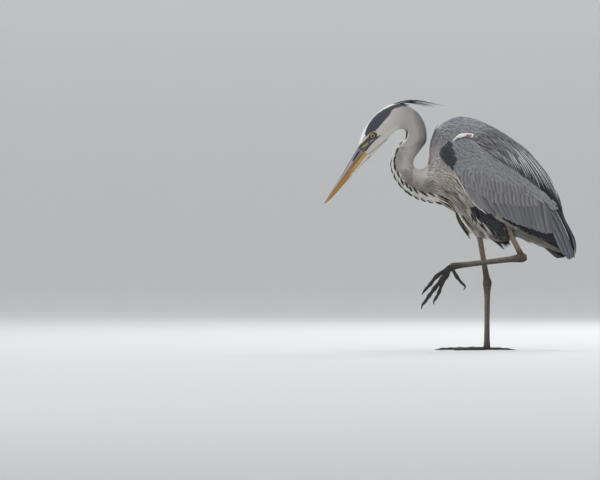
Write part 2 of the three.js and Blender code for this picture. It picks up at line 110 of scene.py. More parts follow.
def newObject(name, mesh):
    piece = bpy.data.objects.new(name, mesh)
    bpy.context.scene.collection.objects.link(piece)
    return piece


def plainMesh(name, verts, faces):
    mesh = bpy.data.meshes.new(name)
    mesh.from_pydata([tuple(v) for v in verts], [], [tuple(f) for f in faces])
    mesh.update()
    return mesh


def turnOutwards(mesh):
    work = bmesh.new()
    work.from_mesh(mesh)
    bmesh.ops.recalc_face_normals(work, faces=work.faces)
    work.to_mesh(mesh)
    work.free()


def shadeSmooth(mesh):
    mesh.polygons.foreach_set("use_smooth", np.ones(len(mesh.polygons), bool))


def closedMesh(name, verts, faces, scale=mm):  # smooth, with its normals outwards
    mesh = plainMesh(name, np.array(verts) * scale, faces)
    turnOutwards(mesh)
    shadeSmooth(mesh)
    return mesh


def setMap(mesh, name, values):  # a UV map from one pair per vertex
    layer = mesh.uv_layers.new(name=name)
    for loop in mesh.loops:
        layer.data[loop.index].uv = values[loop.vertex_index]


def readPoints(mesh):  # in millimetres
    points = np.empty(len(mesh.vertices) * 3, np.float32)
    mesh.vertices.foreach_get("co", points)
    return points.reshape(-1, 3) / mm


def setAttribute(mesh, name, kind, domain, values):
    layer = mesh.attributes.get(name) or mesh.attributes.new(name, kind, domain)
    key = {"FLOAT": "value", "INT": "value", "FLOAT_VECTOR": "vector", "FLOAT2": "vector",
           "FLOAT_COLOR": "color"}[kind]
    layer.data.foreach_set(key, np.asarray(values, np.int32 if kind == "INT" else np.float32).ravel())


def setTint(mesh, colours):  # one colour per vertex
    colours = colours.reshape(-1, 3)
    colours = np.concatenate([colours, np.ones((len(colours), 1))], axis=-1)
    setAttribute(mesh, "tint", "FLOAT_COLOR", "POINT", colours)


# Camera, light and floor, in metres, degrees and watts.
studio = {
    "cameraAt": (-0.411, -12.0, 0.242), "lens": 327.3, "sensor": 36.0,
    "floorTone": (0.52, 0.525, 0.525), "wallTone": (0.90, 0.91, 0.91), "paleHeight": 5.0,
    "flat": 13.0, "bend": 9.0, "wallHeight": 12.0, "around": 96, "skyLight": 1.0,
    "skyTone": (0.97, 0.98, 1.0, 1),
    # Each lamp: place, aim, size, power and tone.
    "lamps": {
        "topLight": ((0.3, 0.9, 4.2), (0, 0, 0.35), 3.2, 80, (1, 1, 1)),
        "frontLight": ((-2.6, -4.6, 2.8), (-0.1, 0, 0.3), 3.4, 46, (1, 0.98, 0.95)),
        "rearLight": ((1.5, 3.2, 2.4), (0, 0, 0.35), 2.2, 60, (0.96, 0.98, 1))},
}


def makeCamera():
    data = bpy.data.cameras.new("camera")
    data.lens, data.sensor_width = studio["lens"], studio["sensor"]
    data.clip_start, data.clip_end = 0.1, 100
    camera = bpy.data.objects.new("camera", data)
    bpy.context.scene.collection.objects.link(camera)
    camera.location = studio["cameraAt"]
    camera.rotation_euler = (math.radians(90), 0, 0)
    bpy.context.scene.camera = camera


def areaLight(name, place, aim, size, power, tint):
    data = bpy.data.lights.new(name, "AREA")
    data.shape, data.size, data.energy, data.color = "DISK", size, power, tint
    lamp = bpy.data.objects.new(name, data)
    bpy.context.scene.collection.objects.link(lamp)
    lamp.location = place
    lamp.rotation_euler = (Vector(aim) - Vector(place)).to_track_quat("-Z", "Y").to_euler()


def makeStudio():
    view = bpy.context.scene.view_settings
    view.view_transform, view.look = "Standard", "None"
    world = bpy.data.worlds.new("studio")
    world.use_nodes = True
    sky = world.node_tree.nodes["Background"].inputs
    sky["Color"].default_value, sky["Strength"].default_value = studio["skyTone"], studio["skyLight"]
    bpy.context.scene.world = world
    for name, lamp in studio["lamps"].items():
        areaLight(name, *lamp)

    # One round sheet: the floor, a wide bend, and a wall all round.
    turn = np.linspace(0, math.pi / 2, 20)
    r, flat = studio["bend"], studio["flat"]
    line = [(k, 0.0) for k in (0.02, 1, 3, 6, 9)]
    line += [(flat + r * math.sin(a), r - r * math.cos(a)) for a in turn]
    line.append((flat + r, studio["wallHeight"]))
    around = fullTurn(studio["around"])
    rings = np.array([[(k * math.cos(a), k * math.sin(a), z) for a in around] for k, z in line])
    verts, faces = loftGrid(rings, closeEnds=False)
    mesh = plainMesh("floor", verts, [face[::-1] for face in faces] + [list(range(studio["around"]))])
    shadeSmooth(mesh)
    floor = newObject("floor", mesh)
    paint, tree, shader = newPaint("floorPaint")
    height = addNode(tree, "ShaderNodeSeparateXYZ", None, i0=objectPlace(tree)).outputs[2]
    rise = mapRange(tree, height, 0.0, studio["paleHeight"])
    colour = mixColour(tree, "MIX", rise, (*studio["floorTone"], 1), (*studio["wallTone"], 1))
    tree.links.new(colour, shader.inputs["Base Color"])
    shader.inputs["Roughness"].default_value = 0.9
    mesh.materials.append(paint)


# The body's envelope has the same tables as the solids: s runs along the body's axis from the shoulder back.
bodyAt, bodyPitch = np.array([-103.0, 0.0, 429.0]), math.radians(42.3)
pitchCos, pitchSin = math.cos(bodyPitch), math.sin(bodyPitch)
backAt = smoothTable([
    (-50, 47), (-49, 56), (-43, 69), (-32, 84), (-16, 99), (3, 111), (36, 123), (60, 129), (86, 133.5),
    (113, 136.5), (142, 137), (177, 131.5), (203, 126), (237, 115), (266, 100), (292, 81), (316, 71),
    (339, 62), (353, 53), (362, 43), (373, 29)])
bellyAt = smoothTable([
    (-50, 45), (-48, 30), (-44, 18), (-36, 4), (-15, -22), (0, -46), (15, -74), (36, -86), (60, -84),
    (86, -78), (113, -73), (142, -69), (177, -66), (203, -62), (220, -52), (237, -32), (252, -19),
    (278, -9), (316, 0), (339, 4), (353, 8), (373, 27)])
widthAt = smoothTable([
    (-50, 22), (-43, 34), (-30, 44), (-10, 53), (15, 59), (50, 63), (88, 65), (132, 63), (176, 57),
    (220, 48), (253, 40), (286, 33), (319, 27), (352, 18), (373, 9)])
wingLow = smoothTable([
    (-8, 12), (1, 1), (20, -4), (43, -9), (72, -15), (114, -21), (150, -22), (175, -20), (188, -9),
    (221, 2), (243, 10), (265, 18), (299, 32)])
wingHigh = smoothTable([
    (-8, 26), (0, 39), (9, 56), (26, 67), (56, 70), (100, 77), (148, 82), (205, 86), (240, 88),
    (271, 69), (292, 50), (299, 38)])


def toWorld(s, y, h):
    return np.stack(np.broadcast_arrays(
        bodyAt[0] + s * pitchCos + h * pitchSin, y, bodyAt[2] - s * pitchSin + h * pitchCos), axis=-1)


def toBody(x, z):
    dx, dz = x - bodyAt[0], z - bodyAt[2]
    return dx * pitchCos - dz * pitchSin, dx * pitchSin + dz * pitchCos


def onBody(s, angle, off=0.0, side=1):  # angle in radians, from the side (0) to the ridge of the back
    middle, tall = (backAt(s) + bellyAt(s)) / 2, (backAt(s) - bellyAt(s)) / 2
    return toWorld(s, side * (widthAt(s) + off) * np.cos(angle), middle + (tall + off) * np.sin(angle))


def angleAt(s, h):
    middle, tall = (backAt(s) + bellyAt(s)) / 2, (backAt(s) - bellyAt(s)) / 2
    return np.arcsin(np.clip((h - middle) / tall, -0.9995, 0.9995))


# Head and neck stations: x, z on the crown's side, x, z on the throat's side, half width.
neckRows = [
    (-284.9, 444.4, -260.7, 420.9, 9.5), (-280.5, 462.0, -250.8, 427.9, 12.5),
    (-272.8, 481.8, -239.8, 438.9, 15.5), (-260.7, 500.9, -228.1, 451.4, 18),
    (-246.4, 517.0, -216.7, 464.6, 19.5), (-228.8, 531.7, -205.7, 476.3, 19.5),
    (-209.0, 541.6, -194.7, 483.6, 19), (-189.2, 543.0, -184.8, 484.9, 18.5),
    (-169.4, 535.7, -177.8, 479.2, 18), (-151.8, 523.6, -175.6, 473.0, 18),
    (-138.6, 505.3, -177.3, 466.4, 18), (-132.0, 484.0, -181.5, 460.2, 18),
    (-131.3, 464.2, -189.6, 455.0, 18.5), (-138.2, 449.9, -198.4, 447.5, 19),
    (-147.4, 436.7, -205.5, 433.4, 19.5), (-156.2, 424.6, -208.6, 415.8, 20),
    (-159.9, 414.7, -208.3, 399.3, 20.5), (-159.3, 407.0, -204.2, 383.9, 21.5),
    (-154.0, 400.8, -195.8, 366.7, 23.5), (-145.2, 399.1, -182.2, 352.0, 26.5),
    (-134.2, 403.7, -163.9, 339.2, 31), (-123.2, 418.0, -144.1, 331.5, 37),
    (-107.8, 435.6, -123.2, 325.2, 43), (-88.0, 446.6, -101.2, 321.6, 49),
    (-63.8, 451.0, -83.6, 316.8, 52)]
neckTable = curveTable([(i, *row) for i, row in enumerate(neckRows)])
lastStation = len(neckRows) - 1


def onPairs(table, station, angle, off=0.0):  # angle 0 right, 90 crown side, 180 left, 270 throat side
    row = table(station)
    centre = (row[..., 0:2] + row[..., 2:4]) / 2
    up = (row[..., 0:2] - row[..., 2:4]) / 2
    tall = np.linalg.norm(up, axis=-1)
    up = up * ((tall + off) / tall)[..., None]
    flat = centre + up * np.sin(angle)[..., None]
    return np.stack([flat[..., 0], (row[..., 4] + off) * np.cos(angle), flat[..., 1]], axis=-1)


def alongCurve(points, shares):  # points on a smooth curve through a few, at shares of its whole run
    return curveTable([(i, *p) for i, p in enumerate(points)])(shares * (len(points) - 1))


# The skin is one closed surface under all the coat, joined from lofts.
skinPlan = {
    "voxel": 2.2, "headInset": -0.9, "neckInset": -1.6, "bodyInset": -2.4, "smoothing": 4,
    "regions": {"head": 0, "neck": 1, "breast": 2, "back": 3, "thigh": 4, "wing": 5, "fold": 6},
    "fold": {"radii": (22, 14, 15), "at": (-139.5, 0, 387.5)},
    # Each thigh: points down its middle, half depths and half widths.
    "thighs": [
        ([(-11, -28, 326), (6, -34, 292), (25, -38, 267), (45, -39, 253)], [44, 36, 20, 6.4],
         [22, 19, 13, 6]),
        ([(-31, 28, 316), (-25, 26, 290), (-18, 23, 262), (-14, 21, 246)], [34, 24, 13.5, 6.4],
         [20, 17, 11, 6])],
}


def loftGrid(points, closeEnds=True):  # rings x sides grid of points, as a closed mesh
    rings, count = points.shape[:2]
    verts = points.reshape(-1, 3)
    r, k = np.meshgrid(np.arange(rings - 1), np.arange(count), indexing="ij")
    a, b = r * count + k, r * count + (k + 1) % count
    faces = np.stack([a, b, b + count, a + count], axis=-1).reshape(-1, 4).tolist()
    if closeEnds:
        faces.append(list(range(count))[::-1])
        faces.append([(rings - 1) * count + i for i in range(count)])
    return verts, faces


def joinGrids(grids, closeEnds=True):  # several lofts as one list of corners and one of faces
    verts, faces, start = [], [], 0
    for grid in grids:
        v, f = loftGrid(grid, closeEnds)
        verts.append(v)
        faces += [[i + start for i in face] for face in f]
        start += len(v)
    return np.concatenate(verts), faces


def faceNotes(about):  # rings x sides x values, as one row of values for each face of a closed loft
    flat = about.reshape(-1, about.shape[-1])
    return np.concatenate([flat[:-about.shape[1]], flat[:1], flat[-1:]])


def nearestFaces(tree, points):
    return np.array([tree.find_nearest(Vector(p))[2] for p in points])


def addRemesh(piece, voxel):
    remesh = piece.modifiers.new("remesh", "REMESH")
    remesh.mode, remesh.voxel_size = "VOXEL", voxel * mm


def addRelax(piece, rounds):
    relax = piece.modifiers.new("relax", "SMOOTH")
    relax.iterations, relax.factor = rounds, 0.5


def applyModifiers(piece):  # the mesh that a piece's modifiers make
    graph = bpy.context.evaluated_depsgraph_get()
    made = bpy.data.meshes.new_from_object(piece.evaluated_get(graph))
    piece.modifiers.clear()
    return made


def tubeGrid(points, tall, wide, around, across=(0, 1, 0)):
    along = unit(np.gradient(points, axis=0))
    up = unit(np.cross(np.array(across, float), along))
    side = unit(np.cross(along, up))
    turn = fullTurn(around)
    return (points[:, None] + up[:, None] * (tall[:, None] * np.sin(turn))[..., None]
            + side[:, None] * (wide[:, None] * np.cos(turn))[..., None])


def skinSources():
    regions = skinPlan["regions"]
    sources = []  # (region, grid of points, grid of (u, v) shares, which way the coat lies)

    def add(region, points, stations, start=0.0, end=1.0):
        rings, count = points.shape[:2]
        lie = unit(np.gradient(points, axis=0))
        u = np.repeat(np.linspace(start, end, rings)[:, None], count, 1)
        v = np.repeat(np.linspace(0, 1, count, endpoint=False)[None], rings, 0)
        sources.append((region, points, np.stack([u, v], axis=-1), lie, stations))

    turn = fullTurn(48)
    stations = np.linspace(0, lastStation, 241)
    inset = skinPlan["headInset"] + (skinPlan["neckInset"] - skinPlan["headInset"]) * ease(stations, 6, 11)
    inset = inset + (skinPlan["bodyInset"] - skinPlan["neckInset"]) * ease(stations, 17, 21)
    st, tn = np.meshgrid(stations, turn, indexing="ij")
    grid = onPairs(neckTable, st, tn, inset[:, None])
    for name, lo, hi, end in (("head", 0, 70, 0.85), ("neck", 70, 165, 1.0), ("breast", 165, 240, 0.7)):
        add(regions[name], grid[lo:hi + 1], stations[lo:hi + 1], 0.0, end)

    body = {"front": -50, "nose": 24, "end": 318, "taper": 40}
    s = np.concatenate([[-49.9, -49.5, -49, -48, -46], np.linspace(-44, 317.9, 150)])
    turn = fullTurn(72)
    share = lambda x: np.sqrt(1 - np.clip(x, 0, 1) ** 2)
    opening = share(1 - (s - body["front"]) / body["nose"]) * share(1 - (body["end"] - s) / body["taper"])
    sg, tg = np.meshgrid(s, turn, indexing="ij")
    side = np.where(np.cos(tg) >= 0, 1, -1)
    height = np.where(np.cos(tg) >= 0, tg, math.pi - tg)
    shell = onBody(sg, height, skinPlan["bodyInset"], side)
    core = onBody(sg, height * 0, 0, 0)
    opening = np.maximum(opening, 0.03)
    shell = core + (shell - core) * opening[:, None, None]
    add(regions["back"], shell, s)

    # The folded wing stands a little proud of the body.
    for side in sides.values():
        s = np.linspace(-7, 292, 80)
        q = fullTurn(40)
        ends = np.maximum(0.06, share(1 - (s + 8) / 34) * share(1 - (293 - s) / 30))
        low, high = angleAt(s, wingLow(s)), np.minimum(math.radians(88), angleAt(s, wingHigh(s)))
        half = (high - low) / 2 * ends
        angle = ((low + high) / 2)[:, None] + half[:, None] * np.cos(q)
        lens = np.sign(np.sin(q)) * np.abs(np.sin(q)) ** 0.6
        off = -3.5 + 5.5 * lens[None] * (0.3 + 0.7 * ends)[:, None]
        add(regions["wing"], onBody(s[:, None] + 0 * angle, angle, off, side), s)

    for leg, (line, tall, wide) in enumerate(skinPlan["thighs"]):
        t = np.linspace(0, 3, 60)
        grow = smoothTable(list(enumerate(tall)))(t) - 1.5, smoothTable(list(enumerate(wide)))(t) - 1.2
        add(regions["thigh"], tubeGrid(alongCurve(line, t / 3), *grow, 32), t, 0.52 * leg, 0.48 + 0.52 * leg)

    t = np.linspace(0, 1, 40)
    chin = alongCurve([(-256, 0, 441), (-266.5, 0, 422.6), (-278, 0, 409.4), (-288, 0, 398.6)], t)
    half = smoothTable([(0, 7.5), (0.35, 5.6), (0.7, 3.2), (1, 0.8)])(t)
    add(regions["head"], tubeGrid(chin, half, half, 20), t, 0.88, 1.0)

    # A low saddle closes the crook between the neck's bend and the back.
    fold = skinPlan["fold"]
    turns = fullTurn(32)
    a, b = np.meshgrid(np.linspace(0.08, math.pi - 0.08, 30), turns, indexing="ij")
    ball = np.stack([np.sin(a) * np.cos(b), np.sin(a) * np.sin(b), np.cos(a)], axis=-1)
    add(regions["fold"], ball * fold["radii"] + np.array(fold["at"]), a[:, 0])

    plumes = curveTable([
        (0, -96.8, 332.2, -52.8, 343.2, 34), (1, -77, 310.2, -41.8, 314.6, 27),
        (2, -61.6, 281.6, -30.8, 283.8, 17), (3, -48.4, 258.5, -30.8, 261.8, 8),
        (4, -37.4, 243.1, -33, 244.2, 1.5)])
    st, tn = np.meshgrid(np.linspace(0, 2.6, 50), turns, indexing="ij")
    add(regions["breast"], onPairs(plumes, st, tn, -3.0), st[:, 0], 0.74, 1.0)
    return sources


def makeSkin():
    sources = skinSources()
    verts, faces = joinGrids([source[1] for source in sources])
    notes = []
    for region, points, shares, lie, stations in sources:
        rings, count = points.shape[:2]
        station = np.repeat(stations[:, None], count, 1)[..., None]
        about = np.concatenate([np.full((rings, count, 1), region), shares, lie, station], axis=-1)
        notes.append(faceNotes(about))
    notes = np.concatenate(notes)
    tree = BVHTree.FromPolygons([tuple(v) for v in verts], faces)

    skin = newObject("skin", closedMesh("skin", verts, faces))
    addRemesh(skin, skinPlan["voxel"])
    made = applyModifiers(skin)
    work = bmesh.new()
    work.from_mesh(made)
    # Finer faces over the head, and finer still where the markings of the face run.
    for nearHead in (lambda c: c.x < -0.196 and c.z > 0.395,
                     lambda c: abs(c.x + 0.258 - (c.z - 0.46) * 0.9) < 0.016 and 0.43 < c.z < 0.486):
        edges = {edge for face in work.faces if nearHead(face.calc_center_median()) for edge in face.edges}
        bmesh.ops.subdivide_edges(work, edges=list(edges), cuts=1, use_grid_fill=True)
    work.to_mesh(made)
    work.free()
    skin.data = made
    addRelax(skin, skinPlan["smoothing"])
    made = applyModifiers(skin)
    skin.data = made
    made.name = "skin"
    shadeSmooth(made)

    points = readPoints(made)
    about = notes[nearestFaces(tree, points)]
    s, h = toBody(points[:, 0], points[:, 2])
    edging = (about[:, 0] == skinPlan["regions"]["wing"]) & (h > wingHigh(s) - 7)
    about[edging, 0] = skinPlan["regions"]["back"]
    edges = np.empty(len(made.edges) * 2, np.int32)
    made.edges.foreach_get("vertices", edges)
    edges = edges.reshape(-1, 2)
    lie = about[:, 3:6].copy()
    for _ in range(12):
        total = lie.copy()
        np.add.at(total, edges[:, 0], lie[edges[:, 1]])
        np.add.at(total, edges[:, 1], lie[edges[:, 0]])
        lie = unit(total)

    # On the chest the coat runs back from the neck and turns down, whichever loft it sits on.
    normal = np.empty(points.size, np.float32)
    made.vertex_normals.foreach_get("vector", normal)
    normal = normal.reshape(-1, 3)
    s, h = toBody(points[:, 0], points[:, 2])
    chest = (about[:, 0] == skinPlan["regions"]["breast"]) | (about[:, 0] == skinPlan["regions"]["back"])
    chest = chest * (1 - ease(s, 5, 45)) * (1 - ease(h, 25, 50))
    dip = np.radians(8 + 40 * ease(points[:, 0], -125, -50))
    wanted = np.stack([np.cos(dip), 0.25 * np.sign(points[:, 1]), -np.sin(dip) - 0.1], axis=-1)
    wanted = unit(wanted - normal * np.sum(wanted * normal, axis=-1, keepdims=True))
    return skin, points, about, unit(lie + (wanted - lie) * chest[:, None])


skin, skinPoints, skinAbout, skinLie = makeSkin()
print("skin made:", len(skin.data.polygons), "faces")


# Markings, with some painted light and shade, shared by the skin and all the coat.
eye = {"at": np.array([-251.9, 11.6, 470.8]), "ball": 7.3, "iris": 5.1}

tones = {
    "crown": tone(232, 230, 225), "cheek": tone(188, 184, 178), "chin": tone(206, 202, 194),
    "cap": tone(58, 60, 72), "upperNeck": tone(158, 154, 151), "napeNeck": tone(126, 123, 122),
    "lowerNeck": tone(166, 160, 159), "foreNeck": tone(238, 235, 228), "sideBreast": tone(188, 181, 179),
    "breast": tone(180, 170, 159), "mantle": tone(160, 161, 168), "shoulder": tone(172, 169, 172),
    "wing": tone(134, 135, 140), "mantleRear": tone(108, 109, 114), "humpFront": tone(141, 141, 146),
    "carpal": tone(52, 57, 65), "flank": tone(18, 20, 25), "belly": tone(164, 157, 148),
    "vent": tone(152, 148, 140), "thigh": tone(204, 198, 190), "lores": tone(72, 72, 66),
    "loreBlue": tone(112, 116, 130), "loreYellow": tone(156, 146, 84), "gapeDark": tone(26, 24, 28),
    "throatLine": tone(124, 114, 106), "brow": tone(200, 196, 186), "browRear": tone(140, 140, 134),
    "browLine": tone(70, 60, 58), "blot": tone(38, 42, 56), "loreBand": tone(52, 54, 48),
    # Painted light and shade: the fold tone is painted lighter than the neck to make up for the shade in the
    # crook, and the crease tone is a painted shadow.
    "eyeRing": tone(44, 42, 32), "fold": tone(206, 200, 199), "creaseShadow": tone(66, 60, 60),
}

# Outlines and lines of the markings, and the line of one painted shadow, side on: x and z.
crownShape = [(-290, 440), (-279, 452), (-266, 470), (-262, 474), (-250, 500), (-225, 521), (-198, 538),
              (-200, 560), (-300, 560)]
throatLine = [(-266, 427), (-260, 431.5), (-251, 438), (-241.8, 445.5), (-232, 454), (-224, 460.5),
              (-214, 467)]
# The crease line carries a painted shadow: a dark line along the crease at the back of the neck's lower bend.
creaseShadowLine = [(-136.4, 457.6), (-144.1, 441.1), (-153.1, 429.4), (-158.6, 419.1), (-160.2, 410.3),
              (-156.6, 403)]
capShape = [
    (-268.8, 475.2), (-265.1, 487.3), (-259.6, 498.1), (-251.7, 509.1), (-241.6, 519.4), (-227.7, 528.9),
    (-212.7, 536.1), (-200.2, 541.2), (-184.8, 545.6), (-165, 553), (-167, 540.6), (-181.7, 538.1),
    (-191.4, 534.6), (-203.5, 531.1), (-209, 526.9), (-214.5, 515.9), (-221.1, 509.1), (-227, 502.7),
    (-233.2, 495), (-238.7, 488.4), (-246.4, 480.7), (-254.1, 478.3), (-261.8, 471.9), (-266.2, 468.6)]
loreShape = [
    (-280.7, 449.4), (-273.7, 455.4), (-267.6, 462.1), (-262.2, 468.1), (-258.6, 472.9), (-254.3, 476.6),
    (-248.3, 479), (-243.7, 478.1), (-241.3, 474.8), (-241.6, 470.5), (-239.8, 469.3), (-235, 472.1),
    (-239.8, 466), (-246.5, 460.2), (-254.3, 452), (-260.4, 444.3), (-264.2, 439.1), (-276, 432), (-288, 440)]
# Lines and patches of the face: tone, half width, softness, strength and the line itself.
faceMarks = [
    ("blot", 1.6, 0.8, 1.0, [(-259.6, 461.8), (-258.8, 462.5)]),
    ("loreBlue", 2.2, 1.2, 1.0, [(-255.5, 458.4), (-248.3, 463.9)]),
    ("loreYellow", 1.8, 1.3, 0.9, [(-272.5, 445.7), (-262.8, 454.2)]),
    ("loreBand", 1.7, 0.9, 1.0, [(-277.3, 450.6), (-264, 460.2)]),
    ("brow", 0.8, 0.5, 1.0, [(-282.2, 450.6), (-274.9, 457.2), (-268.8, 463.3), (-263.4, 469.3),
                             (-259.2, 474.2), (-255.5, 477.4)]),
    ("browRear", 0.6, 0.5, 0.9, [(-255.5, 477.4), (-251.9, 479.6), (-246.5, 480.8), (-242.8, 480.2)]),
    ("browLine", 0.7, 0.5, 0.9, [(-265.8, 471.7), (-270.1, 466.9), (-273.1, 462.1)]),
    ("gapeDark", 1.15, 0.6, 1.0, [(-235, 471.7), (-239.8, 467.5), (-246.5, 462.1), (-253.1, 455.4),
                                  (-259.2, 448.1), (-264, 441.5), (-267, 437.9)])]
flankShape = [(-42, 318), (-15, 320), (0, 308), (11, 286), (28, 290), (50, 272), (58, 250), (28, 238),
              (10, 250), (-16, 280), (-34, 298)]
# The dark patch at the bend of the wing, along the body and up from its axis.
carpalShape = [(0.5, 37.6), (-4.8, 29.2), (-6.3, 18.5), (-2.5, 7.1), (4.5, -1.5), (14, -5.8), (24.6, -7.3),
               (35.4, -6.8), (42.3, -6.2), (39.1, 2.2), (37.2, 11.6), (30.7, 16.8), (21.1, 21.1),
               (13.7, 27.3), (5, 30.6)]


def lineDistance(x, z, line):
    point, best = np.stack([x, z], axis=-1), np.full(x.shape, 1 / tiny)
    for a, b in zip(line[:-1], line[1:]):
        edge = b - a
        t = np.clip(((point - a) @ edge) / (edge @ edge), 0, 1)
        best = np.minimum(best, np.linalg.norm(point - a - t[..., None] * edge, axis=-1))
    return best


def insideShape(x, z, corners, soft=1.0):  # 1 inside, 0 outside, soft edge in millimetres
    corners = np.array(corners, float)
    nextCorners = np.roll(corners, -1, axis=0)
    inside = np.zeros(x.shape, bool)
    for a, b in zip(corners, nextCorners):
        edge = b - a
        crossed = (a[1] > z) != (b[1] > z)
        inside ^= crossed & (x < a[0] + (z - a[1]) * edge[0] / (edge[1] if edge[1] else tiny))
    best = lineDistance(x, z, [*corners, corners[0]])
    return ease(np.where(inside, best, -best), -soft, soft)


def nearLine(x, z, line, half, soft=0.6):  # 1 on a line, 0 away from it
    return 1 - ease(lineDistance(x, z, np.array(line, float)), half - soft, half + soft)


def neckAngle(points, station):  # degrees: 90 crown side, 0 side, -90 throat side
    row = neckTable(station)
    centre = (row[:, 0:2] + row[:, 2:4]) / 2
    up = (row[:, 0:2] - row[:, 2:4]) / 2
    tall = np.linalg.norm(up, axis=-1)
    rise = np.sum((points[:, [0, 2]] - centre) * up, axis=-1) / tall ** 2
    return np.degrees(np.arctan2(rise, np.abs(points[:, 1]) / row[:, 4]))


def chestShade(x, z):  # the breast darkens and warms downwards
    top = np.interp(x, [-190, -180, -147, -125, -103, -81, -59], [402, 399, 391, 387, 383, 362, 346])
    share = ease(top - z, 2, 26) * ease(x, -196, -182) * (1 - ease(x, -70, -45))
    return 1 - share[..., None] * np.array([0.36, 0.38, 0.43])


def plumage(points, region, station):
    regions = skinPlan["regions"]
    x, y, z = points.T
    s, h = toBody(x, z)
    neckPart = region <= regions["breast"]
    angle = np.where(neckPart, neckAngle(points, np.where(neckPart, station, 0)), 0)
    t = tones

    # Head and neck.
    st = np.where(neckPart, station, lastStation)
    neck = blend(t["cheek"], t["upperNeck"], ease(st, 4.0, 8.5))
    neck = blend(neck, t["napeNeck"], ease(angle, 0, 70) * ease(st, 6.5, 9) * (1 - ease(st, 12, 15)))
    neck = blend(neck, t["lowerNeck"], ease(st, 12, 16))
    neck = blend(neck, t["sideBreast"], ease(st, 19, 22))
    neck = blend(neck, t["breast"], ease(-angle, 5, 45) * ease(st, 19, 22))
    neck = neck * np.where((st > 14)[:, None], chestShade(x, z), 1)
    neck = blend(neck, t["chin"], ease(-angle, 25, 60) * (1 - ease(st, 5, 7)))
    neck = blend(neck, t["foreNeck"], ease(-angle, 50, 58) * ease(st, 8, 10) * (1 - ease(st, 16, 17)))
    neck = blend(neck, t["foreNeck"], ease(-angle, 40, 48) * ease(st, 15.5, 17.5))
    neck = blend(neck, t["crown"], insideShape(x, z, crownShape, 1.5) * (st < 7))
    neck = blend(neck, t["throatLine"], 0.75 * nearLine(x, z, throatLine, 1.0, 0.8) * (st < 6))
    neck = blend(neck, t["cap"], insideShape(x, z, capShape, 0.9))
    bare = insideShape(x, z, loreShape, 0.6) * (st < 4)
    neck = blend(neck, t["lores"], bare)
    fromEye = np.hypot(x - eye["at"][0], z - eye["at"][2])
    for name, half, soft, strength, line in faceMarks:
        if name == "brow":
            neck = blend(neck, t["eyeRing"], (1 - ease(fromEye, 7.4, 8.4)) * (st < 4))
        neck = blend(neck, t[name], strength * nearLine(x, z, line, half, soft) * (st < 4))

    # Body.
    body = blend(t["mantle"], t["shoulder"], ease(-h, -52, 0) * (1 - ease(s, 20, 60)))
    body = blend(body, t["sideBreast"] * 1.2, ease(-h, -20, 22) * (1 - ease(s, 40, 70)))
    body = blend(t["humpFront"], body, np.maximum(ease(s, -46, -22), ease(h, 14, 38)))
    body = blend(body, t["mantleRear"], ease(s, 0, 40) * ease(h, 30, 60))
    low = ease(-h, -2, 24) * ease(s + 0.5 * np.clip(-h - 40, 0, None), 12, 45)
    body = blend(body, t["breast"], low)
    body = body * chestShade(x, z)
    body = blend(body, t["belly"], low * ease(s, 60, 120))
    body = blend(body, t["vent"], ease(s, 190, 225) * ease(-h, -30, 0))
    body = blend(body, t["flank"], insideShape(x, z, flankShape, 3.0) * ease(np.abs(y), 8, 20))
    thigh = blend(t["thigh"], t["breast"] * 0.9, ease(z, 284, 300))
    thigh = blend(thigh, t["flank"], insideShape(x, z, flankShape, 3.0) * (y < 0))

    colour = np.where(neckPart[:, None], neck, body)
    colour = np.where((region == regions["wing"])[:, None], t["wing"], colour)
    colour = np.where((region == regions["thigh"])[:, None], thigh, colour)
    patch = insideShape(s, h, carpalShape, 1.2) * ease(np.abs(y), 18, 22)
    colour = blend(colour, t["carpal"], patch * (s < 44) * (region >= regions["breast"]))
    # Painted light: the saddle in the crook is painted lighter than the neck round it, against the shade it
    # lies in.
    colour = np.where((region == regions["fold"])[:, None], blend(t["sideBreast"], t["fold"], 0.5), colour)
    # Painted shadow: a dark line along the crease at the back of the neck's lower bend.
    colour = blend(colour, t["creaseShadow"], 0.8 * nearLine(x, z, creaseShadowLine, 1.4, 1.4) * (neckPart & (st > 9)))
    return colour, bare


def coatSizes(region, station, bare, points):
    # Length and width of the tufts, and how many layers lie over each other.
    regions = skinPlan["regions"]
    s, h = toBody(points[:, 0], points[:, 2])
    length = np.select(
        [region == regions["head"], region == regions["neck"], region == regions["breast"],
         region == regions["back"], region == regions["thigh"], region == regions["fold"]],
        [2.6 + 3.6 * ease(station, 0.5, 6), 7 + 4 * ease(station, 7, 16), 12 + 13 * ease(station, 16.5, 23),
         15 + 4 * ease(s, -30, 60) + 7 * ease(-h, 0, 40), 14.0 + 0 * s, 9.0 + 0 * s], 8.0)
    width = np.select(
        [region == regions["head"], region == regions["neck"], region == regions["breast"]],
        [0.95 + 0.5 * ease(station, 0.5, 6), 1.7 + 0.4 * ease(station, 7, 16),
         2.1 + 0.5 * ease(station, 16.5, 23)],
        np.where(region == regions["back"], 2.8, 2.4))
    layers = np.select([region == regions["wing"], region == regions["head"]], [0.0, 1.9], 3.2)
    layers = np.where((region == regions["back"]) & (s > 150) & (h > 40), 1.2, layers)
    near = np.linalg.norm(points * [1, 0, 1] - eye["at"] * [1, 0, 1], axis=-1)
    layers = layers * (1 - bare) * np.where((region == regions["head"]) & (near < eye["iris"] + 2.4), 0, 1)
    return length, width, layers


